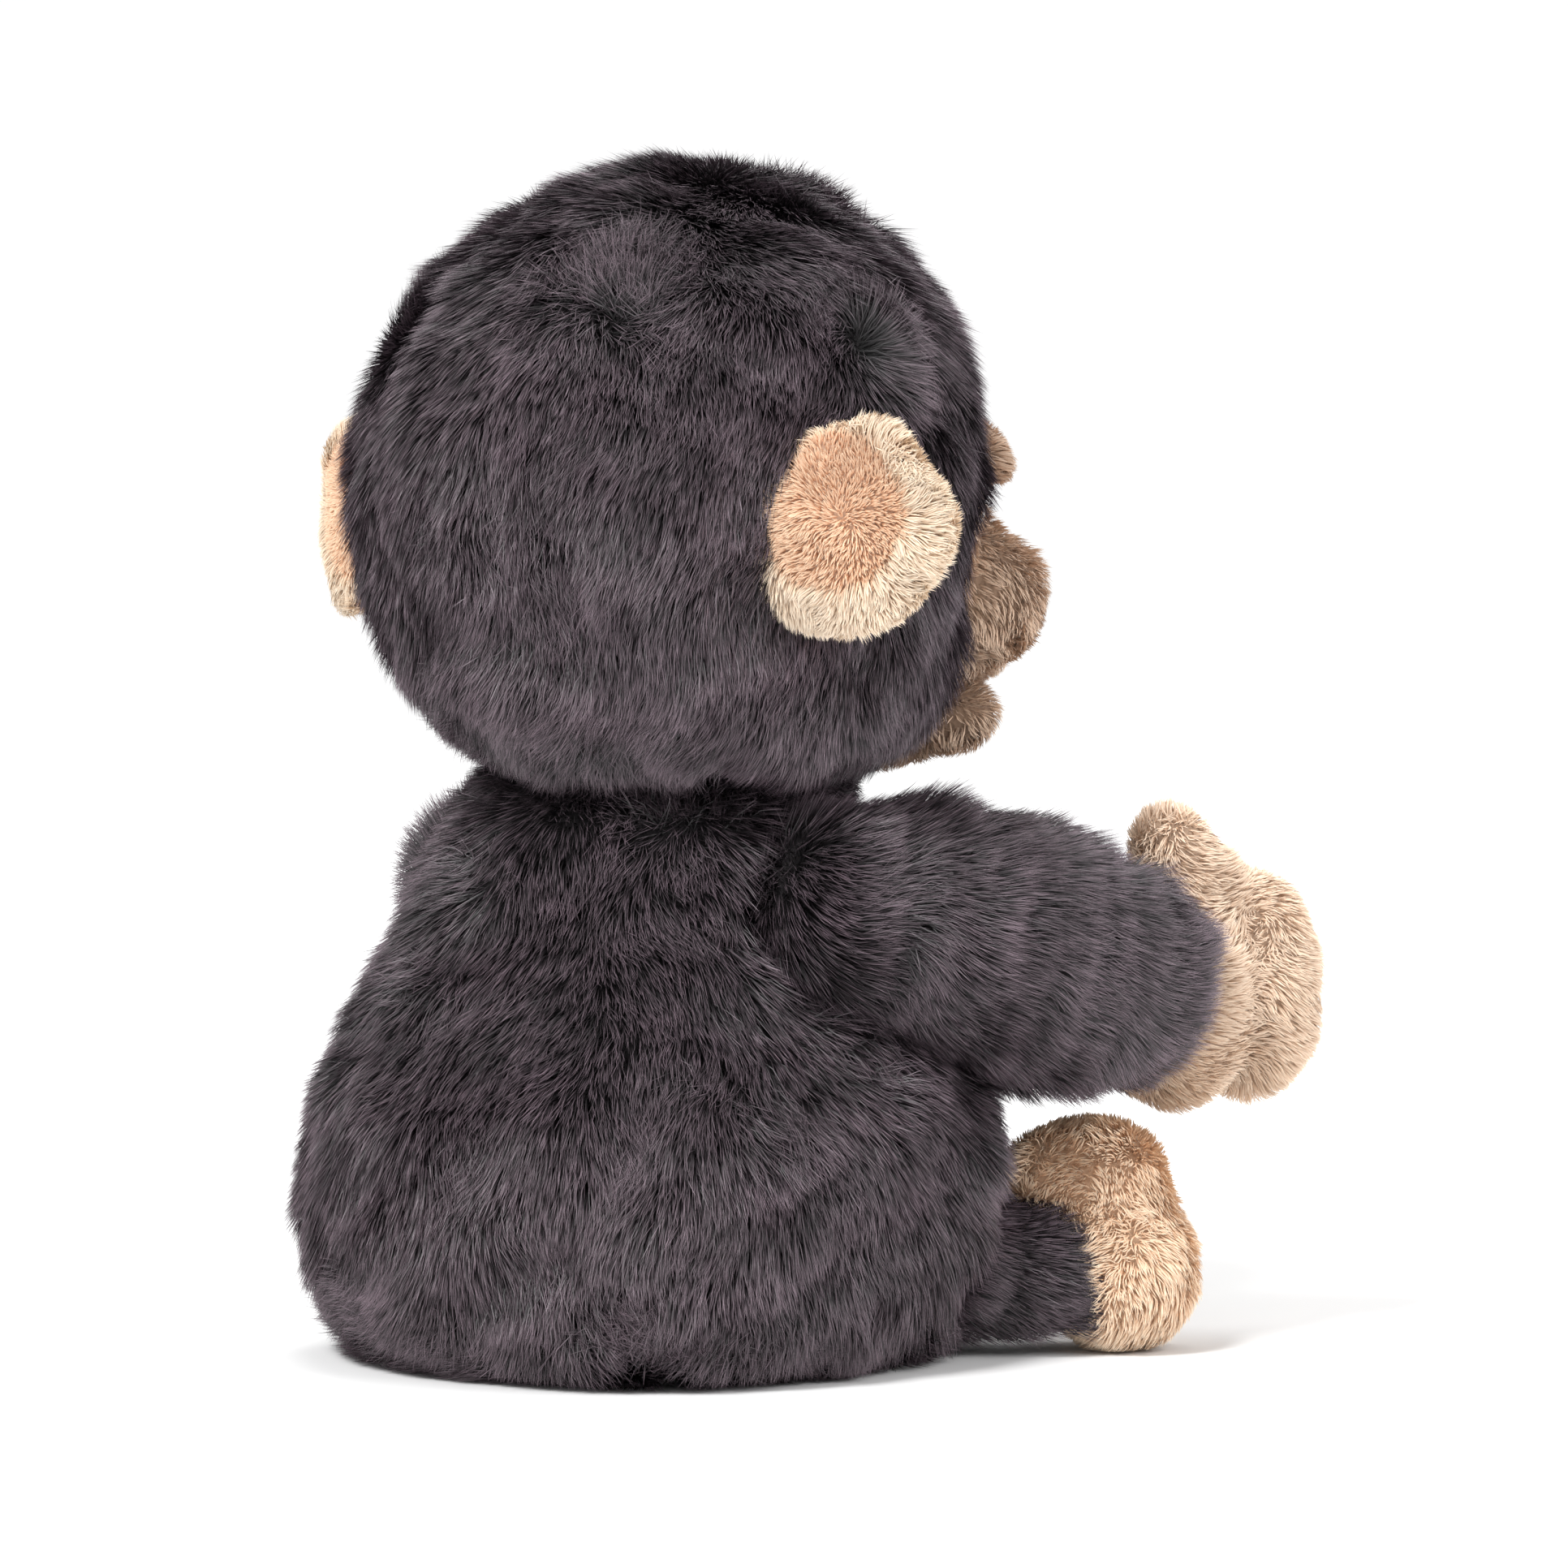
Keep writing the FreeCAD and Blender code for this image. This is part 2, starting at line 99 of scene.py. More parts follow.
def limb_field(points, path, radii):
    """Distance to a stuffed tube through the points of a path."""
    field = None
    for start, end, r0, r1 in zip(path[:-1], path[1:], radii[:-1], radii[1:]):
        run = end - start
        along = np.clip((points - start) @ run / (run @ run), 0, 1)
        gap = np.linalg.norm(points - start - along[:, None] * run, axis=1)
        piece = gap - (r0 + (r1 - r0) * along)
        field = piece if field is None else np.minimum(field, piece)
    return field


def stuffed_skin(name, centre, field, detail, reach=0.12):
    """Closed skin where rays from the centre leave the stuffed form."""
    shape = bmesh.new()
    bmesh.ops.create_icosphere(shape, subdivisions=detail, radius=1.0)
    mesh = bpy.data.meshes.new(name)
    shape.to_mesh(mesh)
    shape.free()
    rays = np.empty(len(mesh.vertices) * 3)
    mesh.vertices.foreach_get("co", rays)
    rays = rays.reshape(-1, 3)
    rays /= np.linalg.norm(rays, axis=1)[:, None]
    steps = np.linspace(0, reach, 49)
    near = np.full(len(rays), reach)
    seen = np.zeros(len(rays), dtype=bool)
    for before, after in zip(steps[:-1], steps[1:]):
        out = ~seen & (field(centre + rays * after) >= 0)
        near[out] = before
        seen |= out
    far = near + steps[1]
    for _ in range(12):
        half = (near + far) / 2
        inside = field(centre + rays * half[:, None]) < 0
        near = np.where(inside, half, near)
        far = np.where(inside, far, half)
    mesh.vertices.foreach_set("co", (centre + rays * near[:, None]).ravel())
    mesh.polygons.foreach_set("use_smooth", np.ones(len(mesh.polygons), dtype=bool))
    mesh.update()
    skin = bpy.data.objects.new(name, mesh)
    bpy.context.collection.objects.link(skin)
    return skin


def read_skin(skin):
    """Corner points, vertex normals and triangles of a skin."""
    mesh = skin.data
    mesh.calc_loop_triangles()
    points = np.empty(len(mesh.vertices) * 3)
    mesh.vertices.foreach_get("co", points)
    normals = np.empty(len(mesh.vertices) * 3)
    mesh.vertex_normals.foreach_get("vector", normals)
    corners = np.empty(len(mesh.loop_triangles) * 3, dtype=np.int32)
    mesh.loop_triangles.foreach_get("vertices", corners)
    return points.reshape(-1, 3), normals.reshape(-1, 3), corners.reshape(-1, 3)


def unit(rows):
    """Rows scaled to length 1."""
    return rows / (np.linalg.norm(rows, axis=1)[:, None] + 1e-12)


def lay_pile(name, skin, look, body, count, length, width, comb, seed, keep=None, stand=0.95, lie=0.30,
             swirl=0.35, swirl_size=0.03, tuft=0.38, tuft_share=14, steps=2, vary=0.25, slot="long_dark_pile"):
    """Cover a skin with tapered pile strands that follow the comb and lean together in tufts.

    Each strand carries two numbers for its look: across the map its own tone, and up it its height."""
    rng = np.random.default_rng(seed)
    drift = seed // 10 * 10
    points, normals, corners = read_skin(skin)
    a, b, c = (points[corners[:, k]] for k in range(3))
    area = np.linalg.norm(np.cross(b - a, c - a), axis=1)
    if keep is not None:
        area = area * np.clip(keep((a + b + c) / 3, unit(np.cross(b - a, c - a))), 0, 1)
    pick = rng.choice(len(corners), size=count, p=area / area.sum())
    u, v = rng.random(count), rng.random(count)
    flip = u + v > 1
    u[flip], v[flip] = 1 - u[flip], 1 - v[flip]
    share = np.stack([1 - u - v, u, v], axis=1)[:, :, None]
    root = (points[corners[pick]] * share).sum(axis=1)
    up = unit((normals[corners[pick]] * share).sum(axis=1))
    flow = comb(root, up) + swirl * wavy_vector(root, swirl_size, drift + 1)
    flow += 0.22 * rng.normal(size=(count, 3))
    flow = unit(flow - up * (flow * up).sum(axis=1)[:, None])
    reach = length * (1 + vary * 0.5 * wavy(root, 0.012, drift + 2) + vary * rng.uniform(-0.6, 0.6, count))
    lift = np.clip(stand * (1 + 0.25 * wavy(root, 0.02, drift + 3) + 0.18 * rng.normal(size=count)), 0.1, 1.4)
    settle = np.clip(lie + 0.10 * wavy(root, 0.009, drift + 4) + 0.05 * rng.normal(size=count), -0.05, 0.9)
    line = [root]
    for step in range(steps):
        bend = (step + 0.5) / steps
        angle = lift * (1 - bend) + settle * bend
        way = flow * np.cos(angle)[:, None] + up * np.sin(angle)[:, None]
        line.append(line[-1] + way * (reach / steps)[:, None])
        line[-1][:, 2] = np.maximum(line[-1][:, 2], FLOOR_CLEAR)
    guides = rng.choice(count, size=max(count // tuft_share, 1), replace=False)
    tree = kdtree.KDTree(len(guides))
    for index, guide in enumerate(guides):
        tree.insert(root[guide], index)
    tree.balance()
    own = guides[np.array([tree.find(spot)[1] for spot in root])]
    pull = tuft * rng.uniform(0.5, 1.0, count)[:, None]
    for step in range(1, steps + 1):
        share_now = pull * (step / steps) ** 1.5
        line[step] = line[step] * (1 - share_now) + line[step][own] * share_now
    roll = rng.normal(0, 0.45, count)[:, None]
    ring = 2 * steps + 1
    spots = np.empty((count, ring, 3), dtype=np.float32)
    for step in range(steps):
        way = unit(line[step + 1] - line[step])
        side = unit(np.cross(way, up))
        face = np.cross(side, way)
        across = side * np.cos(roll) + face * np.sin(roll)
        half = 0.5 * width * (1 - 0.35 * step / steps)
        spots[:, 2 * step] = line[step] - across * half
        spots[:, 2 * step + 1] = line[step] + across * half
    spots[:, -1] = line[-1]
    return pile_mesh(name, spots, rng, look, body, steps, root, own, drift)


def pile_mesh(name, spots, rng, look, body, steps, root, own, drift):
    """One mesh of strands, given the corner points of each."""
    count, ring = spots.shape[:2]
    base = (np.arange(count) * ring)[:, None]
    quads = [[2 * k, 2 * k + 1, 2 * k + 3, 2 * k + 2] for k in range(steps - 1)]
    last = [2 * steps - 2, 2 * steps - 1, 2 * steps]
    pattern = np.array([corner for quad in quads for corner in quad] + last)
    loops = (base + pattern[None, :]).ravel()
    sizes = np.tile(np.array([4] * (steps - 1) + [3]), count)
    starts = np.concatenate([[0], np.cumsum(sizes)[:-1]])
    mesh = bpy.data.meshes.new(name)
    mesh.vertices.add(count * ring)
    mesh.vertices.foreach_set("co", spots.ravel())
    mesh.loops.add(len(loops))
    mesh.loops.foreach_set("vertex_index", loops.astype(np.int32))
    mesh.polygons.add(len(sizes))
    mesh.polygons.foreach_set("loop_start", starts.astype(np.int32))
    mesh.polygons.foreach_set("use_smooth", np.ones(len(sizes), dtype=bool))
    mesh.update(calc_edges=True)
    tone = 0.5 + 0.12 * wavy(root, 0.016, drift + 6) + 0.20 * rng.normal(size=count)
    tone = tone * 0.75 + 0.25 * rng.random(count)[own]
    tone = np.clip(tone, 0.03, 0.97)
    high = np.array([k // 2 / steps for k in range(2 * steps)] + [1.0]) * 0.94 + 0.03
    left = np.array([-0.012 if k % 2 == 0 else 0.012 for k in range(2 * steps)] + [0.0])
    map_u = (tone[:, None] + left[None, :])[:, pattern].ravel()
    map_v = np.broadcast_to(high[None, pattern], (count, len(pattern))).ravel()
    layer = mesh.uv_layers.new(name="OFBake")
    layer.uv.foreach_set("vector", np.stack([map_u, map_v], axis=1).astype(np.float32).ravel())
    mesh.materials.append(look)
    pile = bpy.data.objects.new(name, mesh)
    bpy.context.collection.objects.link(pile)
    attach(pile, body)
    return pile


def strand_group():
    """Node group: a strand's colour from its tone and its height above the backing, with painted shade darkening it
    towards the root and a painted highlight paling it towards the tip.
    """
    group = bpy.data.node_groups.new("Pile strand", "ShaderNodeTree")
    for label, kind in (("Shaded root", "NodeSocketColor"), ("Body", "NodeSocketColor"), ("Highlit tip", "NodeSocketColor"),
                        ("Tone spread", "NodeSocketFloat")):
        group.interface.new_socket(name=label, in_out="INPUT", socket_type=kind)
    group.interface.new_socket(name="Color", in_out="OUTPUT", socket_type="NodeSocketColor")
    group.interface.new_socket(name="Roughness", in_out="OUTPUT", socket_type="NodeSocketFloat")
    nodes, links = group.nodes, group.links
    given = nodes.new("NodeGroupInput")
    out = nodes.new("NodeGroupOutput")
    place = nodes.new("ShaderNodeUVMap")
    place.uv_map = "OFBake"
    parts = nodes.new("ShaderNodeSeparateXYZ")
    links.new(place.outputs["UV"], parts.inputs[0])

    def ramp(low, high, source):
        node = nodes.new("ShaderNodeMapRange")
        node.interpolation_type = "SMOOTHSTEP"
        node.inputs["From Min"].default_value = low
        node.inputs["From Max"].default_value = high
        links.new(source, node.inputs["Value"])
        return node.outputs["Result"]

    def mix(share, first, second, kind="MIX"):
        node = nodes.new("ShaderNodeMix")
        node.data_type = "RGBA"
        node.blend_type = kind
        links.new(share, node.inputs["Factor"])
        links.new(first, node.inputs["A"])
        links.new(second, node.inputs["B"])
        return node.outputs["Result"]

    # Painted shade: the strand darkens from its body colour towards the root; painted highlight: it pales towards the
    # tip.
    lower = mix(ramp(0.0, 0.5, parts.outputs["Y"]), given.outputs["Shaded root"], given.outputs["Body"])
    strand = mix(ramp(0.5, 1.0, parts.outputs["Y"]), lower, given.outputs["Highlit tip"])
    swing = nodes.new("ShaderNodeMath")
    swing.operation = "MULTIPLY_ADD"
    links.new(parts.outputs["X"], swing.inputs[0])
    links.new(given.outputs["Tone spread"], swing.inputs[1])
    half_down = nodes.new("ShaderNodeMath")
    half_down.operation = "MULTIPLY_ADD"
    half_down.inputs[1].default_value = -0.5
    half_down.inputs[2].default_value = 1.0
    links.new(given.outputs["Tone spread"], half_down.inputs[0])
    links.new(half_down.outputs[0], swing.inputs[2])
    grey = nodes.new("ShaderNodeCombineColor")
    for channel in ("Red", "Green", "Blue"):
        links.new(swing.outputs[0], grey.inputs[channel])
    toned = nodes.new("ShaderNodeMix")
    toned.data_type = "RGBA"
    toned.blend_type = "MULTIPLY"
    toned.inputs["Factor"].default_value = 1.0
    links.new(strand, toned.inputs["A"])
    links.new(grey.outputs["Color"], toned.inputs["B"])
    links.new(toned.outputs["Result"], out.inputs["Color"])
    shine = nodes.new("ShaderNodeMapRange")
    shine.inputs["To Min"].default_value = 0.62
    shine.inputs["To Max"].default_value = 0.42
    links.new(parts.outputs["X"], shine.inputs["Value"])
    links.new(shine.outputs["Result"], out.inputs["Roughness"])
    return group


pile_strand = strand_group()


def pile_look(name, root, body, tip, spread, specular=0.5, sheen=0.0):
    """Material of a pile, from its colours at the root (painted shade), along the strand and at the tip (painted
    highlight).
    """
    look = bpy.data.materials.new(name)
    look.use_nodes = True
    nodes, links = look.node_tree.nodes, look.node_tree.links
    shader = nodes["Principled BSDF"]
    strand = nodes.new("ShaderNodeGroup")
    strand.node_tree = pile_strand
    strand.inputs["Shaded root"].default_value = (*root, 1)
    strand.inputs["Body"].default_value = (*body, 1)
    strand.inputs["Highlit tip"].default_value = (*tip, 1)
    strand.inputs["Tone spread"].default_value = spread
    links.new(strand.outputs["Color"], shader.inputs["Base Color"])
    links.new(strand.outputs["Roughness"], shader.inputs["Roughness"])
    shader.inputs["Specular IOR Level"].default_value = specular
    shader.inputs["Sheen Weight"].default_value = sheen
    shader.inputs["Sheen Roughness"].default_value = 0.4
    return look


def backing_group():
    """Node group: knitted backing cloth, with loops in rows and blotches of dye, and painted shade darkening the
    colour in the hollows of the loop bump.
    """
    group = bpy.data.node_groups.new("Knit backing", "ShaderNodeTree")
    for label, kind in (("Dark", "NodeSocketColor"), ("Light", "NodeSocketColor"), ("Loops", "NodeSocketFloat")):
        group.interface.new_socket(name=label, in_out="INPUT", socket_type=kind)
    group.interface.new_socket(name="Color", in_out="OUTPUT", socket_type="NodeSocketColor")
    group.interface.new_socket(name="Height", in_out="OUTPUT", socket_type="NodeSocketFloat")
    nodes, links = group.nodes, group.links
    given = nodes.new("NodeGroupInput")
    out = nodes.new("NodeGroupOutput")
    place = nodes.new("ShaderNodeTexCoord")
    loops = nodes.new("ShaderNodeTexVoronoi")
    links.new(place.outputs["Object"], loops.inputs["Vector"])
    links.new(given.outputs["Loops"], loops.inputs["Scale"])
    blotch = nodes.new("ShaderNodeTexNoise")
    blotch.inputs["Scale"].default_value = 90
    links.new(place.outputs["Object"], blotch.inputs["Vector"])
    # Painted shade: the loop distance that makes the bump also darkens the colour where the bump is low; the noise
    # blotches are dye.
    both = nodes.new("ShaderNodeMath")
    both.operation = "MULTIPLY"
    links.new(loops.outputs["Distance"], both.inputs[0])
    links.new(blotch.outputs["Fac"], both.inputs[1])
    dye_and_shade = nodes.new("ShaderNodeMix")
    dye_and_shade.data_type = "RGBA"
    links.new(both.outputs[0], dye_and_shade.inputs["Factor"])
    links.new(given.outputs["Dark"], dye_and_shade.inputs["A"])
    links.new(given.outputs["Light"], dye_and_shade.inputs["B"])
    links.new(dye_and_shade.outputs["Result"], out.inputs["Color"])
    links.new(loops.outputs["Distance"], out.inputs["Height"])
    return group


knit_backing = backing_group()


def backing_look(name, dark, light, loops=900.0, roughness=0.9):
    """Material of a cloth or thread, mottled between two colours, with painted shade in the hollows of its bump, and
    finely bumped.
    """
    look = bpy.data.materials.new(name)
    look.use_nodes = True
    nodes, links = look.node_tree.nodes, look.node_tree.links
    shader = nodes["Principled BSDF"]
    knit = nodes.new("ShaderNodeGroup")
    knit.node_tree = knit_backing
    knit.inputs["Dark"].default_value = (*dark, 1)
    knit.inputs["Light"].default_value = (*light, 1)
    knit.inputs["Loops"].default_value = loops
    links.new(knit.outputs["Color"], shader.inputs["Base Color"])
    bump = nodes.new("ShaderNodeBump")
    bump.inputs["Strength"].default_value = 0.4
    bump.inputs["Distance"].default_value = 0.0005
    links.new(knit.outputs["Height"], bump.inputs["Height"])
    links.new(bump.outputs["Normal"], shader.inputs["Normal"])
    shader.inputs["Roughness"].default_value = roughness
    return look


# Long dark pile: the near-black root colour is painted shade among the strands, and the pale tip colour is a painted
# highlight.
dark_pile = pile_look("Long dark pile", (0.002, 0.0014, 0.0017), (0.014, 0.0095, 0.012), (0.200, 0.146, 0.174),
                      1.9, specular=0.7)
dark_backing = backing_look("Dark knit backing", (0.010, 0.008, 0.009), (0.022, 0.017, 0.020))

belly_low, belly_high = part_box("torso_belly")
BELLY_RADIUS = (belly_high.x - belly_low.x) / 2
TORSO_TOP = belly_high.z
BELLY_HEIGHT = 32 * MM
FLANK_LEAN = math.radians(22)


def torso_radius(height):
    """Radius of the cloth at a height: a ball below, leaning flanks above."""
    ball = np.sqrt(np.clip(BELLY_RADIUS ** 2 - (height - BELLY_HEIGHT) ** 2, 0, None))
    knee = BELLY_HEIGHT + BELLY_RADIUS * math.sin(FLANK_LEAN)
    flank = BELLY_RADIUS * math.cos(FLANK_LEAN) - (height - knee) * math.tan(FLANK_LEAN)
    slim = 1.0 * MM + 4.2 * MM * np.clip((height - 50 * MM) / (35 * MM), 0, 1)
    return np.where(height > knee, flank, ball) - PILE_DEPTH - slim


HEAD = middle("head_filling")
PANEL = 4.5 * MM
HEAD_RADIUS = (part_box("head_filling")[1].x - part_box("head_filling")[0].x) / 2 + PANEL
SHOULDER = {joint["child"][-1]: np.array(joint["pos_m"]) for joint in frame["joints"]
            if joint["name"].startswith("arm_spread")}
HIP = {joint["child"][-1]: np.array(joint["pos_m"]) for joint in frame["joints"]
       if joint["name"].startswith("leg_spread")}
SHOULDER_ROOM = 18.5 * MM
HIP_ROOM = 12.8 * MM
ROOMS = [(HEAD, HEAD_RADIUS - PILE_DEPTH + 2 * MM)]
for side, _ in SIDES:
    ROOMS += [(SHOULDER[side] - (0, 2 * MM, 0), SHOULDER_ROOM), (HIP[side], HIP_ROOM)]


def torso_field(points):
    """Pear with hollows where the head, arms and legs are set in."""
    height = points[:, 2]
    around = np.hypot(points[:, 0], points[:, 1])
    wall = around - torso_radius(height)
    wall += 1.3 * MM * wavy(points, 0.05, 5) + 0.5 * MM * wavy(points, 0.02, 6)
    floor = 1.2 * MM - height
    roof = height - (TORSO_TOP - 6 * MM)
    body = -blend_forms(-wall, -floor, 12 * MM)
    body = -blend_forms(-body, -roof, 10 * MM)
    for centre, radius in ROOMS:
        body = -blend_forms(-body, np.linalg.norm(points - centre, axis=1) - radius, 2 * MM)
    return body


torso_skin = stuffed_skin("torso_skin", np.array((0, 0, 0.055)), torso_field, 6)
torso_skin.data.materials.append(dark_backing)
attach(torso_skin, "torso")
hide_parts("torso_back_l", "torso_back_r", "torso_belly", "torso_seat", "torso_filling")


def comb_torso(points, up):
    """Pile on the torso falls, and sweeps forward and down under the arms."""
    down = np.zeros_like(points)
    down[:, 2] = -1
    down[:, 1] = -0.25 * np.clip(points[:, 2] / TORSO_TOP, 0, 1)
    under = np.clip(1 - points[:, 2] / 0.02, 0, 1)[:, None]
    outward = np.stack([points[:, 0], points[:, 1], 0 * points[:, 0]], axis=1) * 12
    return down * (1 - under) + outward * under


WAIST = 52 * MM
PILE_TOP = 112 * MM
PILE_FOOT = 2.2 * MM
PILE_FRONT = -12 * MM


def torso_upper(points, way):
    return (points[:, 2] > WAIST) * (points[:, 2] < PILE_TOP)


def torso_lower_back(points, way):
    return (points[:, 2] <= WAIST) * (points[:, 1] > PILE_FRONT) * (points[:, 2] > PILE_FOOT)


def torso_lower_front(points, way):
    return (points[:, 2] <= WAIST) * (points[:, 1] <= PILE_FRONT) * (points[:, 2] > PILE_FOOT)


for name, region, count, seed in (("torso_pile_upper", torso_upper, 62000, 21),
                                  ("torso_pile_back", torso_lower_back, 62000, 22),
                                  ("torso_pile_front", torso_lower_front, 40000, 23)):
    lay_pile(name, torso_skin, dark_pile, "torso", count, PILE_LENGTH, PILE_WIDTH, comb_torso, seed, keep=region)

# --------------------------------------------------------------------------------------------------
# Closing seam: the gap down the centre back that the stuffing goes in by, pulled shut by hand with a
# ladder stitch in dark thread and buried in the pile.
# --------------------------------------------------------------------------------------------------

thread_look = backing_look("Dark thread", (0.006, 0.005, 0.006), (0.020, 0.016, 0.018), loops=2600.0, roughness=0.7)


def stitch_line(name, spots, normals, look, body, thick, share=0.72):
    """A row of thread stitches lying along a line of points."""
    shape = bmesh.new()
    for start, end, up in zip(spots[:-1], spots[1:], normals[:-1]):
        run = (end - start) * share
        centre = (start + end) / 2
        way = Vector(run).normalized()
        lift = Vector(up).normalized()
        side = way.cross(lift).normalized()
        made = bmesh.ops.create_icosphere(shape, subdivisions=2, radius=1.0)["verts"]
        for vert in made:
            local = vert.co.copy()
            bow = thick * 0.5 * (1 - local.x ** 2)
            vert.co = (Vector(centre) + way * (local.x * np.linalg.norm(run) / 2)
                       + side * (local.y * thick / 2) + lift * (local.z * thick / 2 + bow))
    for face in shape.faces:
        face.smooth = True
    mesh = bpy.data.meshes.new(name)
    shape.to_mesh(mesh)
    shape.free()
    mesh.materials.append(look)
    row = bpy.data.objects.new(name, mesh)
    bpy.context.collection.objects.link(row)
    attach(row, body)
    return row


closing_low, closing_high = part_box("closing_stitch")
STITCHES = 12
seam_heights = np.linspace(closing_low.z, closing_high.z, STITCHES)
seam_spots = np.stack([0.35 * MM * np.sin(seam_heights * 900), torso_radius(seam_heights) + 0.3 * MM,
                       seam_heights], axis=1)
closing_stitch = stitch_line("closing_thread", seam_spots, np.tile((0.0, 1.0, 0.0), (STITCHES, 1)), thread_look,
                             "torso", 0.9 * MM)
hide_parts("closing_stitch")

# --------------------------------------------------------------------------------------------------
# Neck: the head is sewn to the torso round a short sleeve of the same pile cloth, drawn in tight, so
# only a crease with pile pushing out of it shows.
# --------------------------------------------------------------------------------------------------


def ring_skin(name, centre, axis, radius, thick, around=96, about=16):
    """A closed roll of cloth round an axis."""
    axis = np.array(axis) / np.linalg.norm(axis)
    first = np.cross(axis, (0.0, 0.0, 1.0) if abs(axis[2]) < 0.9 else (1.0, 0.0, 0.0))
    first /= np.linalg.norm(first)
    second = np.cross(axis, first)
    turn = np.linspace(0, 2 * math.pi, around, endpoint=False)
    curl = np.linspace(0, 2 * math.pi, about, endpoint=False)
    outward = np.cos(turn)[:, None] * first + np.sin(turn)[:, None] * second
    spots = (centre + outward[:, None, :] * (radius + thick * np.cos(curl))[None, :, None]
             + axis * (thick * np.sin(curl))[None, :, None])
    index = np.arange(around * about).reshape(around, about)
    following = np.roll(index, -1, axis=0)
    faces = np.stack([index, following, np.roll(following, -1, axis=1), np.roll(index, -1, axis=1)], axis=2)
    mesh = bpy.data.meshes.new(name)
    mesh.from_pydata(spots.reshape(-1, 3).tolist(), [], faces.reshape(-1, 4).tolist())
    mesh.polygons.foreach_set("use_smooth", np.ones(len(mesh.polygons), dtype=bool))
    skin = bpy.data.objects.new(name, mesh)
    bpy.context.collection.objects.link(skin)
    return skin


_, neck_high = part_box("neck_ring")
neck_centre = np.array((HEAD[0], HEAD[1], neck_high.z - 2.5 * MM))
NECK_RADIUS = 30.0 * MM
neck_skin = ring_skin("neck_roll", neck_centre, (0, 0, 1), NECK_RADIUS, 2.6 * MM)
neck_skin.data.materials.append(dark_backing)
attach(neck_skin, "neck")
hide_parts("neck_ring")


def comb_neck(points, up):
    """Pile on the neck points outward and a little down."""
    out = points - HEAD
    out[:, 2] = -0.012
    return unit(out)


lay_pile("neck_pile", neck_skin, dark_pile, "neck", 12000, 6 * MM, PILE_WIDTH, comb_neck, 31,
         keep=lambda points, way: np.hypot(points[:, 0] - HEAD[0], points[:, 1] - HEAD[1]) > NECK_RADIUS - 1 * MM)

# --------------------------------------------------------------------------------------------------
# Head: a round ball of two side panels and a strip over the crown, firmly stuffed.  The pile swirls
# out of three whorls about the crown and falls to the neck.
# --------------------------------------------------------------------------------------------------

FACE_LOW, FACE_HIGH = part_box("face_panel")
FACE_HEIGHT = (FACE_LOW.z + FACE_HIGH.z) / 2
FACE_RADIUS = (FACE_HIGH.x - FACE_LOW.x) / 2


def face_share(points):
    """0 at the middle of the face, 1 at the seam round it, more outside or behind."""
    across = np.hypot(points[:, 0] - HEAD[0], points[:, 2] - FACE_HEIGHT) / FACE_RADIUS
    return np.where(points[:, 1] < HEAD[1], across, 3.0)


def head_field(points):
    """Ball, fuller low down and on the right, flatter at the left of the crown, with lumps and two seams."""
    away = points - HEAD
    distance = np.linalg.norm(away, axis=1)
    way = away / (distance[:, None] + 1e-9)
    full = 8.5 * MM * np.exp(-((way[:, 2] + 0.70) / 0.24) ** 2) * np.clip(0.75 - way[:, 0], 0, 1)
    full -= 3.8 * MM * np.clip(way @ (0.52, 0.40, 0.75) * 2.5 - 1.5, 0, 1) ** 2
    full += 0.8 * MM * np.clip(way @ (-0.52, -0.40, 0.75) * 2.5 - 1.5, 0, 1)
    lumps = 0.9 * MM * wavy(points, 0.05, 41) + 0.4 * MM * wavy(points, 0.018, 42)
    seam = 0.7 * MM * np.exp(-((np.abs(points[:, 0]) - 13 * MM) / (1.6 * MM)) ** 2)
    return distance - (HEAD_RADIUS - PILE_DEPTH) - full - lumps + seam


head_skin = stuffed_skin("head_skin", HEAD, head_field, 6)
head_skin.data.materials.append(dark_backing)
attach(head_skin, "head")
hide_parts("head_side_l", "head_side_r", "head_gusset", "head_filling")

WHORLS = ((np.array((-30.0, 40.0, 196.0)) * MM, 17 * MM), (np.array((34.0, 36.0, 190.0)) * MM, 15 * MM),
          (np.array((-54.0, -2.0, 186.0)) * MM, 12 * MM))


def comb_head(points, up):
    """Pile on the head falls and sweeps back, except where it turns out of a whorl."""
    flow = np.zeros_like(points)
    flow[:, 2] = -1.0
    flow[:, 1] = 0.35
    for spot, size in WHORLS:
        away = points - spot
        near = np.exp(-(np.linalg.norm(away, axis=1) / size) ** 2)[:, None]
        curl = np.cross(up, away)
        flow = flow * (1 - near) + (unit(away) + 0.5 * unit(curl)) * near * 1.2
    return flow


def head_part(test):
    """Share of the pile kept: only where the test holds, and only outside the face."""
    return lambda points, way: (face_share(points) > 0.98) * test(points)


HEAD_PILE = (("head_pile_back_r", lambda p: (p[:, 1] > HEAD[1]) & (p[:, 0] <= 0), 64000, 51),
             ("head_pile_back_l", lambda p: (p[:, 1] > HEAD[1]) & (p[:, 0] > 0), 52000, 52),
             ("head_pile_front_r", lambda p: (p[:, 1] <= HEAD[1]) & (p[:, 0] <= 0), 50000, 53),
             ("head_pile_front_l", lambda p: (p[:, 1] <= HEAD[1]) & (p[:, 0] > 0), 40000, 54))
for name, test, count, seed in HEAD_PILE:
    lay_pile(name, head_skin, dark_pile, "head", count, PILE_LENGTH, PILE_WIDTH, comb_head, seed, keep=head_part(test))

# --------------------------------------------------------------------------------------------------
# Face: short plush.  A round panel is set into the head; the muzzle, lower jaw and brow are stuffed
# rolls sewn onto it, each drawn in along its own seam.
# --------------------------------------------------------------------------------------------------

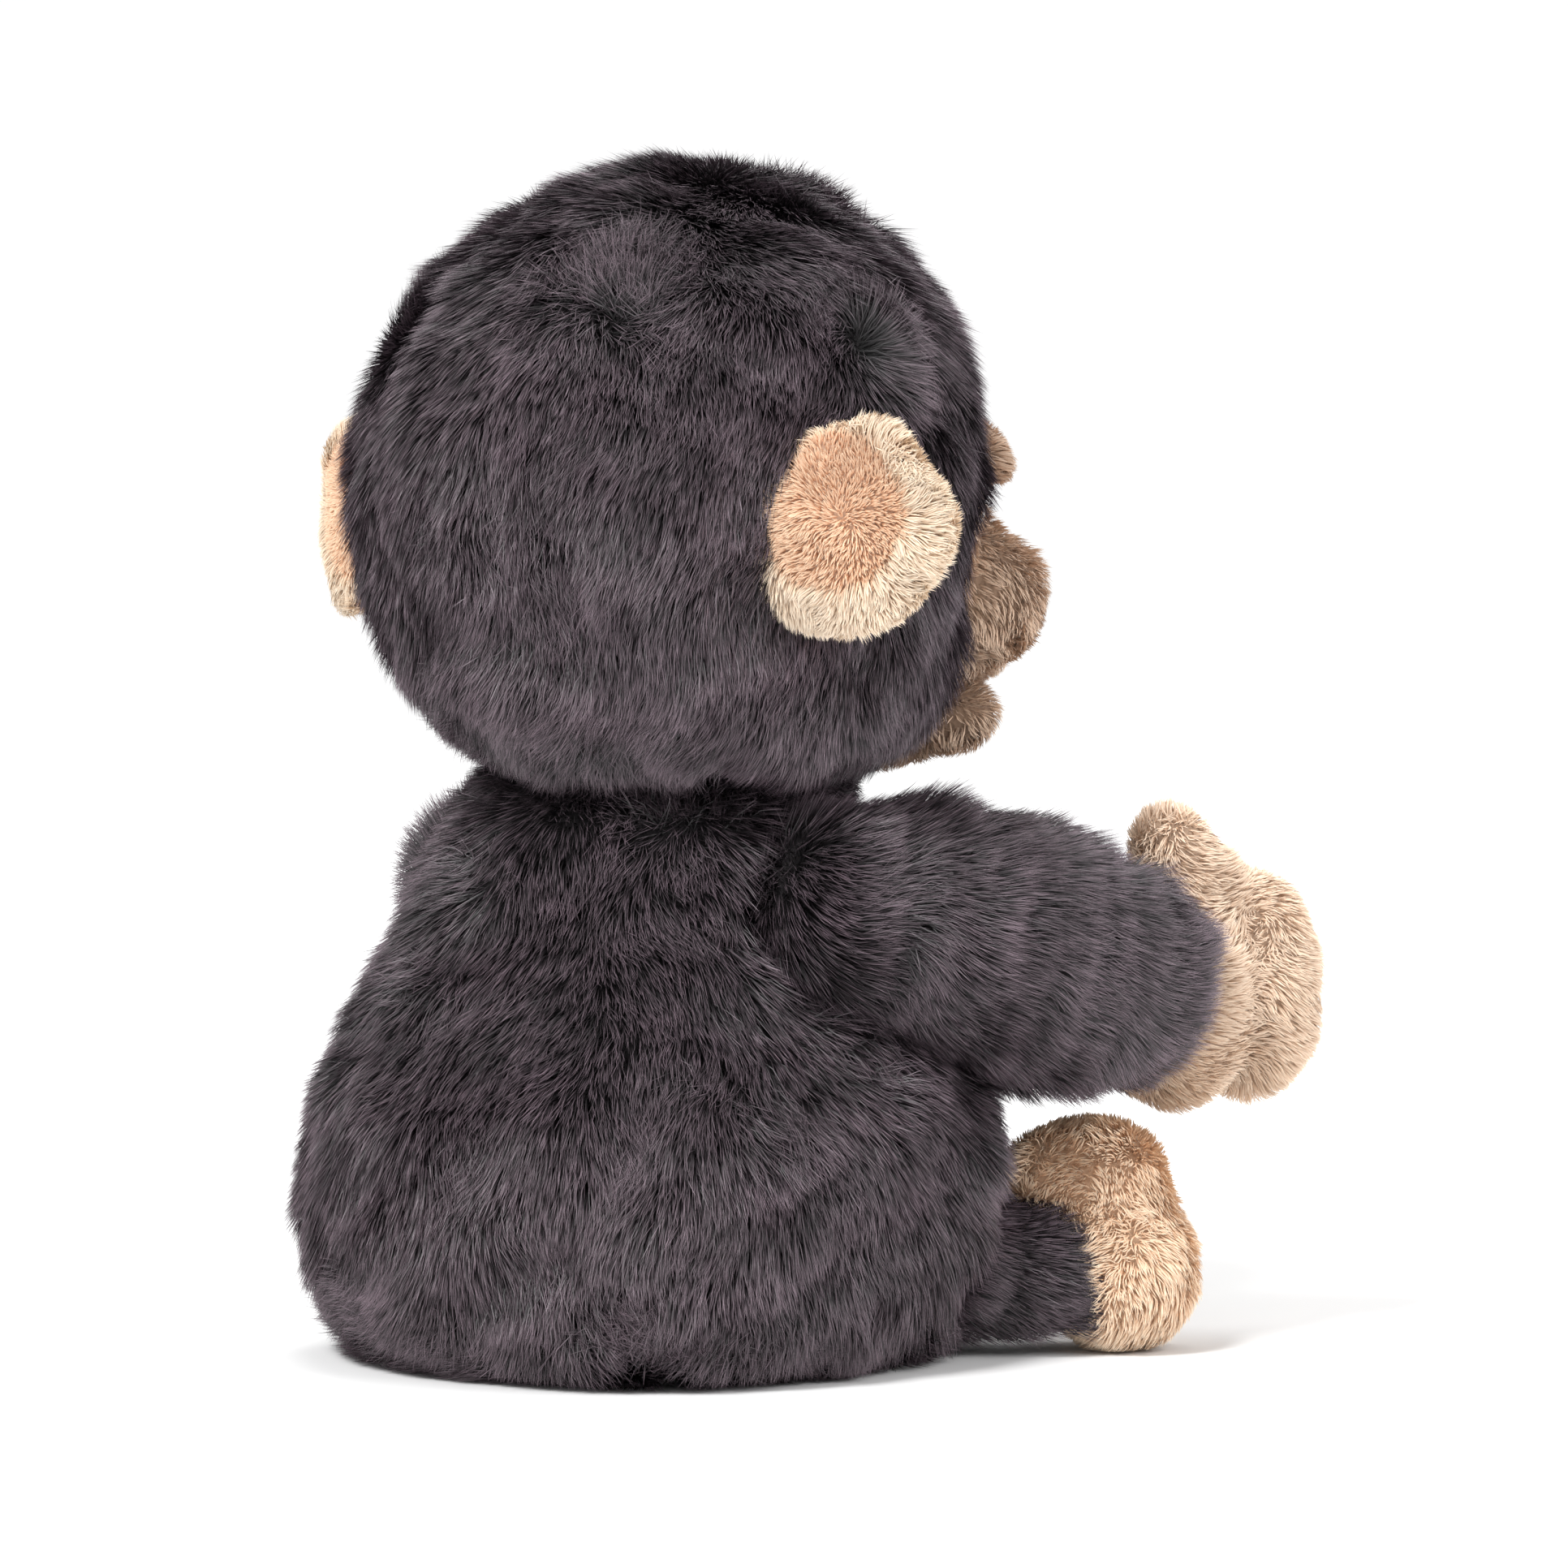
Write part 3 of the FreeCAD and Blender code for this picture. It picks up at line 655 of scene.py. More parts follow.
# Face plush: the darker root colour is painted shade among the strands, and the paler tip colour is a painted
# highlight.
face_plush = pile_look("Face plush", (0.42, 0.28, 0.19), (0.66, 0.47, 0.34), (0.84, 0.65, 0.50), 0.35,
                       specular=0.3, sheen=0.15)
face_backing = backing_look("Face knit", (0.18, 0.11, 0.07), (0.30, 0.19, 0.125))
SHORT_WIDTH = 0.30 * MM
SHORT_LENGTH = 2.8 * MM
SHORT = dict(width=SHORT_WIDTH, slot="face_plush", stand=1.05, lie=0.45, swirl=0.5, swirl_size=0.012, tuft=0.45,
             tuft_share=10, steps=2, vary=0.3)


def face_field(points):
    """Shallow cap on the front of the head that sinks under the dark pile at its seam."""
    distance = np.linalg.norm(points - HEAD, axis=1)
    fade = np.clip((face_share(points) - 0.90) / 0.14, 0, 1)
    fade = fade * fade * (3 - 2 * fade)
    return distance - (HEAD_RADIUS - 2.6 * MM) + 9.0 * MM * fade


face_skin = stuffed_skin("face_skin", HEAD, face_field, 6)
face_skin.data.materials.append(face_backing)
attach(face_skin, "head")
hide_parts("face_panel")


def comb_face(points, up):
    """Plush on the face fans out from above the nose, and droops a little."""
    away = points - np.array((0, HEAD[1] - HEAD_RADIUS, FACE_HEIGHT + 6 * MM))
    away[:, 1] = 0
    return unit(away) + np.array((0, 0, -0.2))


EYE_RADIUS = 6.0 * MM
EYE_OUT = math.radians(19.5)
EYE_DOWN = math.radians(6.5)
EYE_WAY = {side: np.array((sign * math.sin(EYE_OUT) * math.cos(EYE_DOWN), -math.cos(EYE_OUT) * math.cos(EYE_DOWN),
                           -math.sin(EYE_DOWN))) for side, sign in SIDES}
EYE_SPOT = {side: HEAD + EYE_WAY[side] * 60.0 * MM for side, _ in SIDES}


def eye_gap(points):
    """Distance from the nearer line of sight of the two eyes."""
    gaps = []
    for side, _ in SIDES:
        along = np.clip((points - EYE_SPOT[side]) @ EYE_WAY[side], -2 * MM, 30 * MM)
        gaps.append(np.linalg.norm(points - EYE_SPOT[side] - along[:, None] * EYE_WAY[side], axis=1))
    return np.minimum(gaps[0], gaps[1])


lay_pile("face_plush", face_skin, face_plush, "head", 15000, SHORT_LENGTH, comb=comb_face, seed=61,
         keep=lambda p, way: (face_share(p) < 1.0) * (eye_gap(p) > EYE_RADIUS - 0.6 * MM), **SHORT)

muzzle_low, muzzle_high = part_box("muzzle_panel")
MUZZLE = np.array((0.0, muzzle_low.y + 24.0 * MM, (muzzle_low.z + muzzle_high.z) / 2 + 3.0 * MM))
MUZZLE_HALF = np.array(((muzzle_high.x - muzzle_low.x) / 2 + 2.0 * MM, 27.0 * MM,
                        (muzzle_high.z - muzzle_low.z) / 2 + 1.0 * MM))


def muzzle_field(points):
    """Egg with a cleft drawn in down the middle of the lip, and room left for the eyes."""
    field = egg_field(points, MUZZLE, MUZZLE_HALF)
    cleft = np.exp(-(points[:, 0] / (1.4 * MM)) ** 2) * np.clip((MUZZLE[2] + 4 * MM - points[:, 2]) / (8 * MM), 0, 1)
    field = field + 1.2 * MM * cleft + 0.35 * MM * wavy(points, 0.02, 63)
    return -blend_forms(-field, eye_gap(points) - EYE_RADIUS - 1.6 * MM, 5 * MM)


chin_low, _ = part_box("chin_panel")
CHIN = np.array((0.0, chin_low.y + 6.5 * MM, chin_low.z + 7.5 * MM))
CHIN_HALF = np.array((27.5, 16.0, 9.0)) * MM


def chin_field(points):
    return egg_field(points, CHIN, CHIN_HALF) + 0.3 * MM * wavy(points, 0.02, 65)


brow_low, brow_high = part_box("brow_roll")
BROW_HEIGHT = (brow_low.z + brow_high.z) / 2
BROW_REACH = HEAD_RADIUS - 0.5 * MM
BROW_WAVES = 11.25
brow_turns = np.radians(np.linspace(-32, 32, 9))
brow_path = [np.array((HEAD[0] + BROW_REACH * math.sin(turn), HEAD[1] - BROW_REACH * math.cos(turn),
                       BROW_HEIGHT - 1.5 * MM * math.cos(turn * BROW_WAVES))) for turn in brow_turns]
brow_radii = [5.2 * MM - 0.7 * MM * math.cos(turn * BROW_WAVES) for turn in brow_turns]
BROW_CENTRE = np.array((0.0, HEAD[1] - HEAD_RADIUS + 2.0 * MM, BROW_HEIGHT))


def brow_field(points):
    return -blend_forms(-limb_field(points, brow_path, brow_radii), eye_gap(points) - EYE_RADIUS - 0.5 * MM, 3 * MM)


for name, nodes, centre, field, count, seed in (
        ("muzzle", ("muzzle_panel", "muzzle_filling"), MUZZLE, muzzle_field, 17000, 62),
        ("chin", ("chin_panel",), CHIN, chin_field, 7000, 64),
        ("brow", ("brow_roll",), BROW_CENTRE, brow_field, 7500, 66)):
    skin = stuffed_skin(name + "_skin", centre, field, 5)
    skin.data.materials.append(face_backing)
    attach(skin, "head")
    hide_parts(*nodes)
    lay_pile(name + "_plush", skin, face_plush, "head", count, SHORT_LENGTH, comb=comb_face, seed=seed,
             keep=lambda p, way: np.linalg.norm(p - HEAD, axis=1) > HEAD_RADIUS - 3.5 * MM, **SHORT)

# --------------------------------------------------------------------------------------------------
# Eyes and stitching: safety eyes pressed through the face and locked by a washer, a brown ring round
# a black pupil under clear gloss; mouth and nostrils worked in satin stitch.
# --------------------------------------------------------------------------------------------------


def iris_group():
    """Node group: a brown ring round a black pupil, about the line from Centre along Way."""
    group = bpy.data.node_groups.new("Eye iris", "ShaderNodeTree")
    for label in ("Centre", "Way"):
        group.interface.new_socket(name=label, in_out="INPUT", socket_type="NodeSocketVector")
    group.interface.new_socket(name="Color", in_out="OUTPUT", socket_type="NodeSocketColor")
    nodes, links = group.nodes, group.links
    given = nodes.new("NodeGroupInput")
    out = nodes.new("NodeGroupOutput")
    place = nodes.new("ShaderNodeTexCoord")
    offset = nodes.new("ShaderNodeVectorMath")
    offset.operation = "SUBTRACT"
    links.new(place.outputs["Object"], offset.inputs[0])
    links.new(given.outputs["Centre"], offset.inputs[1])
    aside = nodes.new("ShaderNodeVectorMath")
    aside.operation = "CROSS_PRODUCT"
    links.new(offset.outputs["Vector"], aside.inputs[0])
    links.new(given.outputs["Way"], aside.inputs[1])
    far = nodes.new("ShaderNodeVectorMath")
    far.operation = "LENGTH"
    links.new(aside.outputs["Vector"], far.inputs[0])
    grain = nodes.new("ShaderNodeTexNoise")
    grain.inputs["Scale"].default_value = 1400
    links.new(place.outputs["Object"], grain.inputs["Vector"])
    ring = nodes.new("ShaderNodeMath")
    ring.operation = "MULTIPLY_ADD"
    ring.inputs[1].default_value = 0.0006
    links.new(grain.outputs["Fac"], ring.inputs[0])
    links.new(far.outputs["Value"], ring.inputs[2])
    spread = nodes.new("ShaderNodeMath")
    spread.operation = "MULTIPLY"
    spread.inputs[1].default_value = 1 / EYE_RADIUS
    links.new(ring.outputs[0], spread.inputs[0])
    ramp = nodes.new("ShaderNodeValToRGB")
    pupil, edge = ramp.color_ramp.elements
    pupil.position, pupil.color = 0.0, (0.004, 0.003, 0.003, 1)
    edge.position, edge.color = 1.0, (0.010, 0.006, 0.004, 1)
    for position, colour in ((0.50, (0.004, 0.003, 0.003, 1)), (0.56, (0.10, 0.035, 0.012, 1)),
                             (0.80, (0.05, 0.018, 0.007, 1))):
        ramp.color_ramp.elements.new(position).color = colour
    links.new(spread.outputs[0], ramp.inputs["Fac"])
    links.new(ramp.outputs["Color"], out.inputs["Color"])
    return group


IRIS = iris_group()


def eye_look(name, centre, way):
    """Clear-coated plastic over the iris."""
    look = bpy.data.materials.new(name)
    look.use_nodes = True
    nodes, links = look.node_tree.nodes, look.node_tree.links
    shader = nodes["Principled BSDF"]
    iris = nodes.new("ShaderNodeGroup")
    iris.node_tree = IRIS
    iris.inputs["Centre"].default_value = centre
    iris.inputs["Way"].default_value = way
    links.new(iris.outputs["Color"], shader.inputs["Base Color"])
    shader.inputs["Roughness"].default_value = 0.12
    shader.inputs["Coat Weight"].default_value = 1.0
    shader.inputs["Coat Roughness"].default_value = 0.03
    return look


for side, _ in SIDES:
    eye_shape = bmesh.new()
    bmesh.ops.create_icosphere(eye_shape, subdivisions=5, radius=EYE_RADIUS)
    for face in eye_shape.faces:
        face.smooth = True
    bmesh.ops.translate(eye_shape, verts=eye_shape.verts, vec=Vector(EYE_SPOT[side]))
    eye_mesh = bpy.data.meshes.new("eye_dome_" + side)
    eye_shape.to_mesh(eye_mesh)
    eye_shape.free()
    eye_mesh.materials.append(eye_look("Eye gloss " + side, tuple(EYE_SPOT[side]), tuple(EYE_WAY[side])))
    eye = bpy.data.objects.new("eye_dome_" + side, eye_mesh)
    bpy.context.collection.objects.link(eye)
    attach(eye, "head")
    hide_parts("eye_" + side)

# The mouth lies in the crease between muzzle and jaw, on whichever of the two stands further out.
face_thread = backing_look("Brown thread", (0.030, 0.014, 0.009), (0.085, 0.042, 0.027), loops=2400.0,
                           roughness=0.6)
PLUSH_STANDS = 1.7 * MM
mouth_low, mouth_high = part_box("mouth_stitch")
mouth_turns = np.radians(np.linspace(-50, 50, 21))
mouth_height = (mouth_low.z + mouth_high.z) / 2 + 1.5 * MM
mouth_normals = np.stack([np.sin(mouth_turns), -np.cos(mouth_turns), 0 * mouth_turns], axis=1)
mouth_centre = np.array((0, CHIN[1], mouth_height))
mouth_spots = []
for way in mouth_normals:
    along = mouth_centre + way * np.linspace(5, 50, 181)[:, None] * MM
    inside = (muzzle_field(along) < 0) | (chin_field(along) < 0)
    mouth_spots.append(along[np.nonzero(inside)[0].max()] + way * PLUSH_STANDS)
mouth_spots = np.array(mouth_spots)
mouth_spots[:, 2] += 1.5 * MM * np.sin(mouth_turns) ** 2
mouth_row = stitch_line("mouth_thread", mouth_spots, mouth_normals, face_thread, "head", 1.3 * MM,
                        share=0.95)
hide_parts("mouth_stitch")

# Each nostril is nine upright stitches side by side, longest in the middle.
NOSTRIL_NORMALS = np.array(((0, -1, 0.4), (0, -1, 0.4)))
for side, sign in SIDES:
    spot = middle("nostril_stitch_" + side)
    rows = np.linspace(-2.4, 2.4, 9) * MM
    rise = np.sqrt(np.clip(1 - (rows / (2.9 * MM)) ** 2, 0, 1)) * 1.7 * MM
    parts = []
    for row, high in zip(rows, rise):
        level = spot[2] + sign * 0.25 * row
        front = MUZZLE[1] - MUZZLE_HALF[1] * math.sqrt(max(1 - ((spot[0] + row) / MUZZLE_HALF[0]) ** 2
                                                           - ((level - MUZZLE[2]) / MUZZLE_HALF[2]) ** 2, 0.01))
        start = np.array((spot[0] + row, front - 2.6 * MM, level - high))
        end = np.array((spot[0] + row, front - 1.9 * MM, level + high))
        parts.append(stitch_line("nostril_%s_%d" % (side, len(parts)), np.array((start, end)), NOSTRIL_NORMALS,
                                 face_thread, "head", 0.7 * MM, share=1.0))
    with bpy.context.temp_override(active_object=parts[0], selected_editable_objects=parts, selected_objects=parts):
        bpy.ops.object.join()
    parts[0].name = "nostril_thread_" + side
    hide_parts("nostril_stitch_" + side)

# --------------------------------------------------------------------------------------------------
# Ears: two short-plush discs sewn round the edge and left unstuffed, cupped forward, with a paler and
# longer plush round the rim.
# --------------------------------------------------------------------------------------------------

# Ear plushes: the darker root colours are painted shade among the strands and the paler tip colours are painted
# highlights; the rim plush is also creamier in its own colour.
ear_plush = pile_look("Ear plush", (0.74, 0.42, 0.25), (0.90, 0.60, 0.40), (0.97, 0.76, 0.56), 0.2, specular=0.3)
rim_plush = pile_look("Ear rim plush", (0.62, 0.42, 0.28), (0.84, 0.66, 0.49), (0.97, 0.84, 0.68), 0.25, specular=0.35)
ear_backing = backing_look("Ear knit", (0.40, 0.24, 0.16), (0.62, 0.40, 0.28))
EAR_PROFILE = ((0.0, -1.2), (5.0, -1.0), (9.5, 0.0), (13.0, 1.4), (14.6, 2.9), (16.2, 4.6), (17.8, 5.2), (19.3, 4.5),
               (20.3, 3.0), (20.2, 1.4), (18.8, 0.2), (16.0, -0.9), (12.0, -2.1), (7.0, -2.9), (0.0, -3.2))
EAR_AROUND = 120
EAR_SCALE = 0.88
EAR_LEAN = math.radians(25)
EAR_SPOT = (64.0, 14.5, 153.5)
EAR_RISE = 3 * MM


def ear_shell(name, spot, sign):
    """Cupped disc turned from a profile, its rim wavering as it goes round."""
    outward = np.array((sign * math.cos(EAR_LEAN), -math.sin(EAR_LEAN), 0.0))
    forward = np.array((-sign * math.sin(EAR_LEAN), -math.cos(EAR_LEAN), 0.0))
    up = np.array((0.0, 0.0, 1.0))
    profile = np.array(EAR_PROFILE)
    along = np.linspace(0, len(profile) - 1, 43)
    radius = np.interp(along, np.arange(len(profile)), profile[:, 0]) * EAR_SCALE * MM
    depth = np.interp(along, np.arange(len(profile)), profile[:, 1]) * MM
    radius, depth = (np.convolve(np.pad(row, 2, mode="reflect", reflect_type="odd"), np.ones(5) / 5, "valid")
                     for row in (radius, depth))
    turn = np.linspace(0, 2 * math.pi, EAR_AROUND, endpoint=False)
    bold = (radius[1:-1] / (20 * MM))[None, :]
    grow = 1 + (0.05 * np.sin(turn * 2 + 0.6) + 0.045 * np.sin(turn * 6 + 1.2))[:, None] * bold ** 3
    wave = (1.4 * np.sin(turn * 3 + 1.9) + 1.1 * np.sin(turn * 6 + 0.4))[:, None] * MM * bold ** 3
    wide = radius[1:-1][None, :] * grow
    lean_in = -2.2 * MM * np.cos(turn)[:, None] * bold ** 2
    far = depth[1:-1][None, :] + wave + lean_in
    spots = (spot + (wide * np.cos(turn)[:, None])[:, :, None] * outward
             + (wide * np.sin(turn)[:, None])[:, :, None] * up + far[:, :, None] * forward)
    rings = spots.shape[1]
    index = np.arange(EAR_AROUND * rings).reshape(EAR_AROUND, rings)
    following = np.roll(index, -1, axis=0)
    faces = np.stack([index[:, :-1], index[:, 1:], following[:, 1:], following[:, :-1]], axis=2)
    faces = faces.reshape(-1, 4).tolist()
    corners = spots.reshape(-1, 3).tolist()
    for ring, place, flip in ((0, depth[0], False), (rings - 1, depth[-1], True)):
        corners.append((spot + forward * place).tolist())
        cap = [[len(corners) - 1, index[k, ring], following[k, ring]] for k in range(EAR_AROUND)]
        faces += [face[::-1] for face in cap] if flip else cap
    mesh = bpy.data.meshes.new(name)
    mesh.from_pydata(corners, [], [[int(corner) for corner in face] for face in faces])
    shape = bmesh.new()
    shape.from_mesh(mesh)
    bmesh.ops.recalc_face_normals(shape, faces=shape.faces)
    shape.to_mesh(mesh)
    shape.free()
    mesh.polygons.foreach_set("use_smooth", np.ones(len(mesh.polygons), dtype=bool))
    shell = bpy.data.objects.new(name, mesh)
    bpy.context.collection.objects.link(shell)
    return shell, outward


for side, sign in SIDES:
    ear_spot = np.array((sign * EAR_SPOT[0], *EAR_SPOT[1:])) * MM
    shell, ear_out = ear_shell("ear_shell_" + side, ear_spot, sign)
    shell.data.materials.append(ear_backing)
    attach(shell, "ear_" + side)
    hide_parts("ear_front_" + side, "ear_back_" + side)

    def ear_clear(points):
        return np.linalg.norm(points - HEAD, axis=1) > HEAD_RADIUS - 4 * MM

    def ear_rim(points):
        return np.hypot((points - ear_spot) @ ear_out + 2 * MM, points[:, 2] - ear_spot[2] - EAR_RISE)

    def comb_ear(points, up):
        return unit(np.stack([points[:, 0] - ear_spot[0], points[:, 1] - ear_spot[1],
                              points[:, 2] - ear_spot[2] - EAR_RISE], axis=1))

    lay_pile("ear_plush_" + side, shell, ear_plush, "ear_" + side, 11000, 1.9 * MM, SHORT_WIDTH, comb_ear, 71,
             keep=lambda p, way: ear_clear(p) * (ear_rim(p) < 15.8 * MM), stand=1.0, lie=0.5, swirl=0.5,
             swirl_size=0.012, tuft=0.35, tuft_share=10, steps=2, slot="ear_plush")
    lay_pile("ear_rim_" + side, shell, rim_plush, "ear_" + side, 9000, 4.0 * MM, SHORT_WIDTH, comb_ear, 72,
             keep=lambda p, way: ear_clear(p) * (ear_rim(p) > 13.2 * MM), stand=0.8, lie=0.2, swirl=0.6,
             swirl_size=0.012, tuft=0.55, tuft_share=12, steps=3, slot="ear_plush")

# --------------------------------------------------------------------------------------------------
# Arms: each hangs from an armhole ring sewn to the torso; the sleeve is a stuffed tube of the dark
# pile, two panels with seams above and below, gathered onto the short-plush hand at the wrist.
# --------------------------------------------------------------------------------------------------

ARM_PATH = ((43, -5, 84, 15.2), (48.5, -21, 82, 18.2), (52, -38, 76, 19.6), (54.5, -52, 71, 19.4),
            (56, -61, 69.5, 17.5))
ARMHOLE_RADIUS = 14.6 * MM
SLEEVE_LENGTH = 9.5 * MM


def comb_arm(path):
    """Pile runs down a limb, away from its root."""
    def comb(points, up):
        flow = np.zeros_like(points)
        for start, end in zip(path[:-1], path[1:]):
            run = end - start
            along = np.clip((points - start) @ run / (run @ run), 0, 1)
            gap = np.linalg.norm(points - start - along[:, None] * run, axis=1)
            flow += run / np.linalg.norm(run) * np.exp(-gap / (4 * MM))[:, None]
        return unit(flow)
    return comb


for side, sign in SIDES:
    ring = ring_skin("armhole_roll_" + side, np.array((sign * 41, -4.5, 84)) * MM, (sign, -0.25, 0), ARMHOLE_RADIUS,
                     1.9 * MM)
    ring.data.materials.append(dark_backing)
    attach(ring, "shoulder_" + side)
    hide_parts("armhole_ring_" + side)

    arm_path = [np.array((sign * across, along, high)) * MM for across, along, high, _ in ARM_PATH]
    arm_radii = [radius * MM for _, _, _, radius in ARM_PATH]

    def arm_field(points):
        lumps = 0.6 * MM * wavy(points, 0.06, 81) + 0.2 * MM * wavy(points, 0.025, 82)
        return limb_field(points, arm_path, arm_radii) - lumps

    sleeve = stuffed_skin("sleeve_skin_" + side, arm_path[2] * 0.6 + arm_path[1] * 0.4, arm_field, 6)
    sleeve.data.materials.append(dark_backing)
    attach(sleeve, "arm_" + side)
    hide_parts("sleeve_upper_" + side, "sleeve_lower_" + side, "arm_filling_" + side)
    lay_pile("sleeve_pile_" + side, sleeve, dark_pile, "arm_" + side, 50000, SLEEVE_LENGTH, PILE_WIDTH,
             comb_arm(arm_path), 83 + int(sign))

# --------------------------------------------------------------------------------------------------
# Hands: a stuffed mitt of short plush, back and palm, with the fingers as one lobe drawn in from the
# palm and a stubby thumb standing up beside it.
# --------------------------------------------------------------------------------------------------

# Hand plush: the darker root colour is painted shade among the strands, and the paler tip colour is a painted
# highlight.
hand_plush = pile_look("Hand plush", (0.60, 0.42, 0.29), (0.80, 0.61, 0.46), (0.95, 0.79, 0.63), 0.25, specular=0.3)
hand_backing = backing_look("Hand knit", (0.34, 0.23, 0.16), (0.55, 0.40, 0.29))
TAN_LENGTH = 3.0 * MM
TAN = dict(width=SHORT_WIDTH, slot="tan_plush", stand=1.0, lie=0.35, swirl=0.7, swirl_size=0.018, tuft=0.5,
           tuft_share=10, steps=2, vary=0.35)

for side, sign in SIDES:
    flat = np.array((sign, 1, 1)) * MM

    def hand_field(points):
        palm = egg_field(points, flat * (56, -83, 64.5), np.array((15.5, 15.5, 20.5)) * MM)
        fingers = egg_field(points, flat * (61.5, -97, 65.5), np.array((13, 12.5, 20.5)) * MM)
        thumb = limb_field(points, [flat * (56, -84, 72), flat * (55.5, -82, 92)], [10.5 * MM, 7.0 * MM])
        web = limb_field(points, [flat * (56, -83, 88), flat * (61, -95, 76)], [7.5 * MM, 8.5 * MM])
        cuff = np.linalg.norm(points - flat * (56, -73, 69), axis=1) - 15 * MM
        form = blend_forms(blend_forms(palm, cuff, 6 * MM), fingers, 2.5 * MM)
        return blend_forms(form, np.minimum(thumb, web), 5 * MM) - 0.5 * MM * wavy(points, 0.02, 91)

    mitt = stuffed_skin("hand_skin_" + side, flat * (57, -86, 69), hand_field, 6)
    mitt.data.materials.append(hand_backing)
    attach(mitt, "hand_" + side)
    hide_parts("hand_back_" + side, "hand_palm_" + side, "hand_filling_" + side)
    lay_pile("hand_plush_" + side, mitt, hand_plush, "hand_" + side, 22000, TAN_LENGTH,
             comb=comb_arm([flat * (56, -60, 68), flat * (58, -110, 66)]), seed=92 + int(sign), **TAN)

# --------------------------------------------------------------------------------------------------
# Legs: short stuffed tubes of the dark pile lying forward on the floor, sewn into the seat seam, each
# ending in an upright foot of short plush with a heel lobe and a toe lobe.
# --------------------------------------------------------------------------------------------------

# Foot plush: the darker root colour is painted shade among the strands, and the paler tip colour is a painted
# highlight.
foot_plush = pile_look("Foot plush", (0.78, 0.52, 0.34), (0.93, 0.69, 0.49), (0.98, 0.83, 0.65), 0.18, specular=0.3)
foot_backing = backing_look("Foot knit", (0.38, 0.24, 0.15), (0.60, 0.40, 0.27))
LEG_PATH = ((42, -36, 16.5, 11.8), (48, -45, 15.5, 11.4), (54, -53, 15, 11.0))

for side, sign in SIDES:
    flat = np.array((sign, 1, 1)) * MM
    leg_path = [np.array((sign * across, along, high)) * MM for across, along, high, _ in LEG_PATH]
    leg_radii = [radius * MM for _, _, _, radius in LEG_PATH]

    def leg_field(points):
        return limb_field(points, leg_path, leg_radii) - 0.5 * MM * wavy(points, 0.02, 101)

    shank = stuffed_skin("leg_skin_" + side, leg_path[1], leg_field, 5)
    shank.data.materials.append(dark_backing)
    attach(shank, "leg_" + side)
    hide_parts("leg_upper_" + side, "leg_lower_" + side, "leg_filling_" + side)
    lay_pile("leg_pile_" + side, shank, dark_pile, "leg_" + side, 20000, 8.0 * MM, PILE_WIDTH,
             comb_arm(leg_path), 102 + int(sign), keep=lambda p, way: p[:, 2] > 6 * MM, lie=0.05)

    def foot_field(points):
        heel = egg_field(points, flat * (61, -62, 14.5), np.array((14.5, 13.0, 14.5)) * MM)
        toes = egg_field(points, flat * (59, -58, 30.5), np.array((12.5, 11.5, 11.8)) * MM)
        bulge = np.linalg.norm(points - flat * (52.5, -51, 32), axis=1) - 7.5 * MM
        form = blend_forms(blend_forms(heel, toes, 6 * MM), bulge, 5 * MM)
        return np.maximum(form, 0.8 * MM - points[:, 2]) - 0.4 * MM * wavy(points, 0.02, 111)

    foot = stuffed_skin("foot_skin_" + side, flat * (60, -60, 22), foot_field, 5)
    foot.data.materials.append(foot_backing)
    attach(foot, "leg_" + side)
    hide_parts("foot_top_" + side, "foot_sole_" + side, "foot_filling_" + side)

    def comb_foot(points, up):
        away = points - flat * (64, -70, 22)
        return unit(np.cross(away, np.array((0.0, 1.0, 0.0)))) + 0.8 * unit(away)

    lay_pile("foot_plush_" + side, foot, foot_plush, "leg_" + side, 15000, TAN_LENGTH, comb=comb_foot,
             seed=112 + int(sign), keep=lambda p, way: p[:, 2] > 1.6 * MM, **TAN)

# --------------------------------------------------------------------------------------------------
# Inside: the pellet bag that weighs the seat down, its pellets, and the washers locking the eyes.
# --------------------------------------------------------------------------------------------------

bag_cloth = backing_look("Bag cotton", (0.55, 0.53, 0.48), (0.74, 0.72, 0.66), loops=1500.0)
pellet_look = backing_look("Pellets", (0.35, 0.35, 0.36), (0.80, 0.80, 0.78), loops=420.0, roughness=0.35)
washer_look = backing_look("Washer plastic", (0.68, 0.68, 0.66), (0.80, 0.80, 0.78), loops=300.0, roughness=0.4)
for node, look in (("pellet_pouch", bag_cloth), ("pellet_fill", pellet_look), ("eye_washer_l", washer_look),
                   ("eye_washer_r", washer_look)):
    piece = frame["nodes"][node]
    for index in range(len(piece.material_slots)):
        piece.material_slots[index].material = look

# --------------------------------------------------------------------------------------------------
# Stage: white floor and surround, one soft-edged sun, two round lamps, and a long lens a little below
# the crown, looking from behind the right shoulder.
# --------------------------------------------------------------------------------------------------

floor_mesh = bpy.data.meshes.new("floor")
floor_mesh.from_pydata([(-3, -3, 0), (3, -3, 0), (3, 3, 0), (-3, 3, 0)], [], [(0, 1, 2, 3)])
floor = bpy.data.objects.new("floor", floor_mesh)
bpy.context.collection.objects.link(floor)
floor_look = bpy.data.materials.new("Floor")
floor_look.use_nodes = True
floor_look.node_tree.nodes["Principled BSDF"].inputs["Base Color"].default_value = (0.94, 0.94, 0.94, 1)
floor_look.node_tree.nodes["Principled BSDF"].inputs["Roughness"].default_value = 0.9
floor_mesh.materials.append(floor_look)

